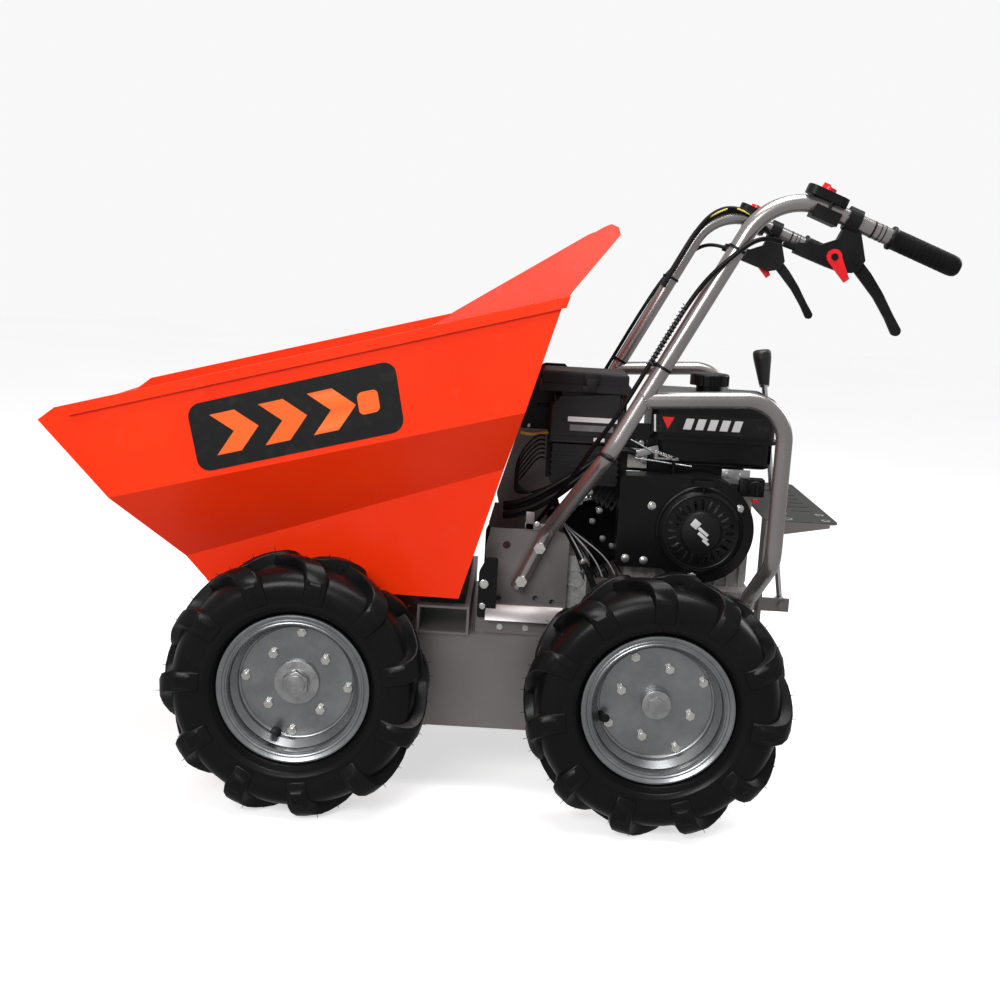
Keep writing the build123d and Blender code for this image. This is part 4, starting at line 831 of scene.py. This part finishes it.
for i in range(6 * SLEEVE_TURNS + 1):
    share = i / (6 * SLEEVE_TURNS)
    turn = 2 * pi * SLEEVE_TURNS * share
    x, z = -276 + 47 * share, 818 - 90 * share
    spiral.append((x + 5.2 * cos(turn) * 0.87, 316.8 + 5.2 * sin(turn), z + 5.2 * cos(turn) * 0.49))
strand("spiral_sleeve", spiral, 0.8, smoke_sheath, resolution=3)

# The sheath of each brake cable leaves its perch, crosses its tube and follows the tube's front down.
CABLE_ROUTE = [(-407, 313, 916.3), (-386, 320, 922), (-364, 330, 916), (-340, 333, 896), (-315, 329, 872),
               (-294, 320, 846), (-267, 317, 800), (-236, 316, 742), (-209, 314, 690), (-182, 312, 640),
               (-156, 298, 602), (-142, 250, 566), (-130, 184, 532), (-114, 124, 498), (-94, 84, 456),
               (-70, 56, 420), (-60, 46, 393.6)]
cable_left = strand("control_cable_left", CABLE_ROUTE, 3.5, cable_skin)
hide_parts("control_cables")
strand("control_cable_right", [(x - 4, -y, z) for x, y, z in CABLE_ROUTE], 3.5, cable_skin)

ties = bmesh.new()
TUBE_FOOT = (-178, 589)
along_tube = Vector((BEND[0] - TUBE_FOOT[0], 0, BEND[1] - TUBE_FOOT[1])).normalized()
for x, side, z in ((-177.5, 1, 588), (-344, 1, 902.5), (-318, -1, 853.4), (-232, -1, 691), (-250, 1, 725)):
    spot = at(x, side * TUBE_Y, z)
    band(ties, spot, along_tube, 0.0127, 0.0045, 0.0014)
    slab(ties, spot + Vector((0.0145, -0.004 * side, 0.0045)), (0.0055, 0.0070, 0.0055), 0.0008)
settle("cable_ties", ties, black_plastic, "chassis", 30)

# ---------- governor and switch ----------
# Bent wire links and a light spring join the governor arm to the carburettor over a black plate that is
# painted shade for the dark interior, among plated screws; the stop switch has a moulded collar, a boot and a
# red tag.
links = bmesh.new()
rod(links, at(-228, 96, 590), at(-262, 100, 574), 0.0012, 12)
rod(links, at(-262, 100, 574), at(-270, 108, 568), 0.0012, 12)
rod(links, at(-236, 98, 560), at(-330, 104, 552), 0.0014, 12)
rod(links, at(-246, 84, 585), at(-246, 98, 585), 0.0045, 20, 0.0008)
rod(links, at(-232, 84, 566), at(-232, 95, 566), 0.0040, 6, 0.0006)
rod(links, at(-252, 84, 556), at(-252, 93, 556), 0.0052, 24, 0.0008)
slab(links, at(-256, 92, 571), (0.040, 0.002, 0.012), 0.0006, Matrix.Rotation(radians(18), 4, "Y"))
slab(links, at(-400, 126, 546), (0.046, 0.002, 0.016), 0.0006)
for x in (-386, -408):
    rod(links, at(x, 126, 546), at(x, 130.5, 546), 0.0042, 6, 0.0006)
for x, z in ((-171, 452), (-190, 424), (-206, 412), (-160, 366)):
    rod(links, at(x, 100, z), at(x - 3, 114, z), 0.0036, 6, 0.0006)
    rod(links, at(x - 2, 108, z), at(x - 2.4, 110, z), 0.0052, 24, 0.0005)
for x, y, z in ((-150, 104, 482), (-166, 104, 500), (-184, 104, 470)):
    rod(links, at(x, y - 14, z), at(x, y + 4, z), 0.0054, 24, 0.0010)
    rod(links, at(x, y + 3, z), at(x, y + 8, z), 0.0034, 6, 0.0006)
settle("governor_links", links, turned_steel, "chassis", 30)
# The black backing plate is a dark sheet that stands for the shade behind the links: painted shade.
backing = bmesh.new()
outline_plate(backing, [at(-208, 0, 616), at(-268, 0, 616), at(-420, 0, 560), at(-420, 0, 536),
                        at(-208, 0, 536)], 0.0760, 0.0020, 0.006, 1, 4)
for x in (-222, -240, -258):
    slab(backing, at(x, 79, 566), (0.006, 0.004, 0.046), 0.0012)
settle("governor_plate", backing, black_enamel, "chassis", 35)
SPRING_TURNS = 15
spring = []
for i in range(8 * SPRING_TURNS + 1):
    share = i / (8 * SPRING_TURNS)
    turn = 2 * pi * SPRING_TURNS * share
    spring.append((-268 - 40 * share, 106 + 3 * cos(turn), 574 - 12 * share + 3 * sin(turn)))
strand("governor_spring", spring, 0.5, bolt_zinc, 2)

switch_trim = bmesh.new()
lathe(switch_trim, [(0.0098, 0.0), (0.0124, 0.0), (0.0124, 0.0036), (0.0112, 0.0048), (0.0098, 0.0048)],
      at(-433, 128, 525), closed=True)
slab(switch_trim, at(-414, 122, 526), (0.014, 0.018, 0.030), 0.002)
slab(switch_trim, at(-392, 118, 520), (0.030, 0.014, 0.018), 0.002)
settle("switch_trim", switch_trim, black_plastic, "chassis", 35)
red_tag = bmesh.new()
slab(red_tag, at(-436, 122, 503), (0.010, 0.012, 0.006), 0.001)
settle("switch_tag", red_tag, red_plastic, "chassis", 35)

# ---------- bracket feet and latch ----------
# Each handle bracket stands on a slanted folded foot in a lighter copy of the grey coat, painted highlight
# where the fold catches the light, with some worn patches; the latch plate that holds the lowered skip is
# bolted in front of it.
highlit_worn_coat = powder_coat("highlit_worn_coat", (0.40, 0.375, 0.37), (0.24, 0.22, 0.215), 0.6, 0.3, 0.1, 0.0002, 0.3)
for side, hand in ((1, "left"), (-1, "right")):
    foot = bmesh.new()
    slab(foot, at(-68, side * 180.2, 306.0), (0.126, 0.0022, 0.0290), 0.0009,
         Matrix.Rotation(radians(side * 36), 4, "X"))
    settle(f"bracket_foot_{hand}", foot, highlit_worn_coat, "chassis", 30)
    latch = bmesh.new()
    outline_plate(latch, [at(8, 0, 296), at(8, 0, 372), at(-4, 0, 396), at(-22, 0, 396), at(-22, 0, 296)],
                  0.1740, 0.0035, 0.004, side, 4)
    settle(f"latch_plate_{hand}", latch, black_enamel, "chassis", 35)
    bolt = bmesh.new()
    rod(bolt, at(0, side * 177.5, 316), at(0, side * 183.5, 316), 0.0058, 6, 0.0008)
    rod(bolt, at(-1, side * 177.5, 352), at(-1, side * 181.0, 352), 0.0075, 24, 0.0010)
    settle(f"latch_bolts_{hand}", bolt, bolt_zinc, "chassis", 30)

# ---------- clip, bosses, screws and frame welds ----------
# A clip plate for the cables, cast rings and bosses on the gearbox cover with their screws, plated washers
# on the deck, and the weld beads that join the frame, coated in its grey.
clip = bmesh.new()
slab(clip, at(-84, 124, 440), (0.044, 0.003, 0.012), 0.0008)
slab(clip, at(-70, 124, 450), (0.014, 0.003, 0.030), 0.0008)
slab(clip, at(-112, 121, 448), (0.026, 0.010, 0.016), 0.002)
settle("cable_clip", clip, frame_coat, "chassis", 35)
bosses = bmesh.new()
for x, z, r in ((-150, 352, 0.0150), (-140, 318, 0.0240), (-60, 350, 0.0200)):
    lathe(bosses, [(r - 0.0016, 0.0), (r - 0.0010, 0.0016), (r + 0.0010, 0.0016), (r + 0.0016, 0.0)],
          at(x, 108, z), closed=True)
CASE_SCREWS = ((-160, 300), (-162, 384), (-128, 386))
for x, z in CASE_SCREWS:
    rod(bosses, at(x, 106, z), at(x, 112, z), 0.0065, 24, 0.0010)
settle("gearbox_bosses", bosses, case_cast, "chassis", 35)
screws = bmesh.new()
rod(screws, at(-82, 125.5, 446), at(-82, 130, 446), 0.0048, 6, 0.0007)
for x, z in CASE_SCREWS:
    rod(screws, at(x, 112, z), at(x, 115.5, z), 0.0044, 6, 0.0006)
for x, y in ((-480, 130), (-540, 130), (-480, 180), (-540, 180), (-480, -180), (-540, -180)):
    band(screws, at(x, y, 487.4), (0, 0, 1), 0.0044, 0.0008, 0.0030)
settle("frame_screws", screws, bolt_zinc, "chassis", 30)

frame_weld = powder_coat("frame_weld", (0.27, 0.25, 0.245), (0.19, 0.17, 0.168), 0.5, 0.4, 0.1, 0.0003)
# Each straight bead: X and Y of its start, X and Y of its end, and its height.
SEAMS = [(22, 186, 22, 120, 270), (102, 186, 102, 120, 270), (22, 96, 22, 30, 270),
         (-436, 214.5, -402, 214.5, 297), (252, 151, 330, 151, 270.5), (252, 161, 330, 161, 270.5),
         (-446.5, 163, -446.5, 193, 300)]
welds = bmesh.new()
for side in (-1, 1):
    for start_x, start_y, end_x, end_y, z in SEAMS:
        bead(welds, at(start_x, side * start_y, z), at(end_x, side * end_y, z), 0.0021)
    # Rings of beads where the guard tube meets the handle tube, and where it stands on its foot.
    for i in range(22):
        angle = 2 * pi * i / 22
        spot = at(-226.5 + 7.5 * sin(angle), side * TUBE_Y + 12.9 * cos(angle), 676.5 + 12.9 * sin(angle))
        bmesh.ops.create_icosphere(welds, subdivisions=1, radius=0.0022, matrix=Matrix.Translation(spot))
    for i in range(20):
        angle = 2 * pi * i / 20
        spot = at(-417 + 13.2 * cos(angle), side * 206 + 6.8 * sin(angle), 325)
        bmesh.ops.create_icosphere(welds, subdivisions=1, radius=0.0022, matrix=Matrix.Translation(spot))
settle("frame_welds", welds, frame_weld, "chassis", 60)

# ---------- floor, light and camera ----------
# A plain pale floor that runs into a pale backdrop, three large soft lamps, and a camera that looks a
# little down on the barrow's left side.
floor_shape = bmesh.new()
bmesh.ops.create_grid(floor_shape, x_segments=1, y_segments=1, size=14)
floor_mesh = bpy.data.meshes.new("floor")
floor_shape.to_mesh(floor_mesh)
floor_shape.free()
floor = bpy.data.objects.new("floor", floor_mesh)
bpy.context.scene.collection.objects.link(floor)
pale = Finish("pale_floor")
floor_mesh.materials.append(pale.surface({
    "Base Color": pale.mix(pale.noise(0.8).rise(0.3, 0.7), (0.78, 0.78, 0.78), (0.81, 0.81, 0.81)),
    "Roughness": 0.9,
    "Specular IOR Level": 0.1,
    "Emission Color": (1.0, 1.0, 1.0, 1.0),
    "Emission Strength": 0.58,
}))
floor.visible_diffuse = False
floor.visible_glossy = False

world = bpy.data.worlds.new("studio")
world.use_nodes = True
sky = world.node_tree
sky.nodes["Background"].inputs["Strength"].default_value = 0.44
backdrop = sky.nodes.new("ShaderNodeBackground")
backdrop.inputs["Strength"].default_value = 0.94
for shade in (sky.nodes["Background"], backdrop):
    shade.inputs["Color"].default_value = (1.0, 1.0, 1.0, 1.0)
seen = sky.nodes.new("ShaderNodeLightPath")
choice = sky.nodes.new("ShaderNodeMixShader")
sky.links.new(seen.outputs["Is Camera Ray"], choice.inputs[0])
sky.links.new(sky.nodes["Background"].outputs[0], choice.inputs[1])
sky.links.new(backdrop.outputs[0], choice.inputs[2])
sky.links.new(choice.outputs[0], sky.nodes["World Output"].inputs["Surface"])
bpy.context.scene.world = world


def softbox(name, spot, aim, width, height, power):
    lamp = bpy.data.lights.new(name, "AREA")
    lamp.shape = "RECTANGLE"
    lamp.size = width
    lamp.size_y = height
    lamp.energy = power
    holder = bpy.data.objects.new(name, lamp)
    direction = Vector(aim) - Vector(spot)
    holder.matrix_world = Matrix.Translation(spot) @ direction.to_track_quat("-Z", "Y").to_matrix().to_4x4()
    bpy.context.scene.collection.objects.link(holder)


softbox("front_lamp", (0.9, 2.9, 1.9), (0, 0.1, 0.45), 1.5, 1.0, 58)
softbox("top_lamp", (-0.3, 0.3, 2.6), (0, 0, 0.4), 2.2, 1.4, 64)
softbox("rear_lamp", (-2.6, -1.6, 1.8), (0, 0, 0.5), 1.6, 1.4, 26)

# The camera's turns in degrees: how far it looks down, turns aside and leans.
PITCH = 9.92
YAW = 0.64
ROLL = 3.15
eye = bpy.data.cameras.new("eye")
eye.lens = 48.96
eye.sensor_width = 36.0
eye.clip_end = 60
holder = bpy.data.objects.new("eye", eye)
holder.matrix_world = (Matrix.Translation(at(-43.4, 2322, 866)) @ Matrix.Rotation(radians(180 + YAW), 4, "Z")
                       @ Matrix.Rotation(radians(90 - PITCH), 4, "X")
                       @ Matrix.Rotation(radians(ROLL), 4, "Z"))
bpy.context.scene.collection.objects.link(holder)
bpy.context.scene.camera = holder
bpy.context.scene.view_settings.view_transform = "Standard"
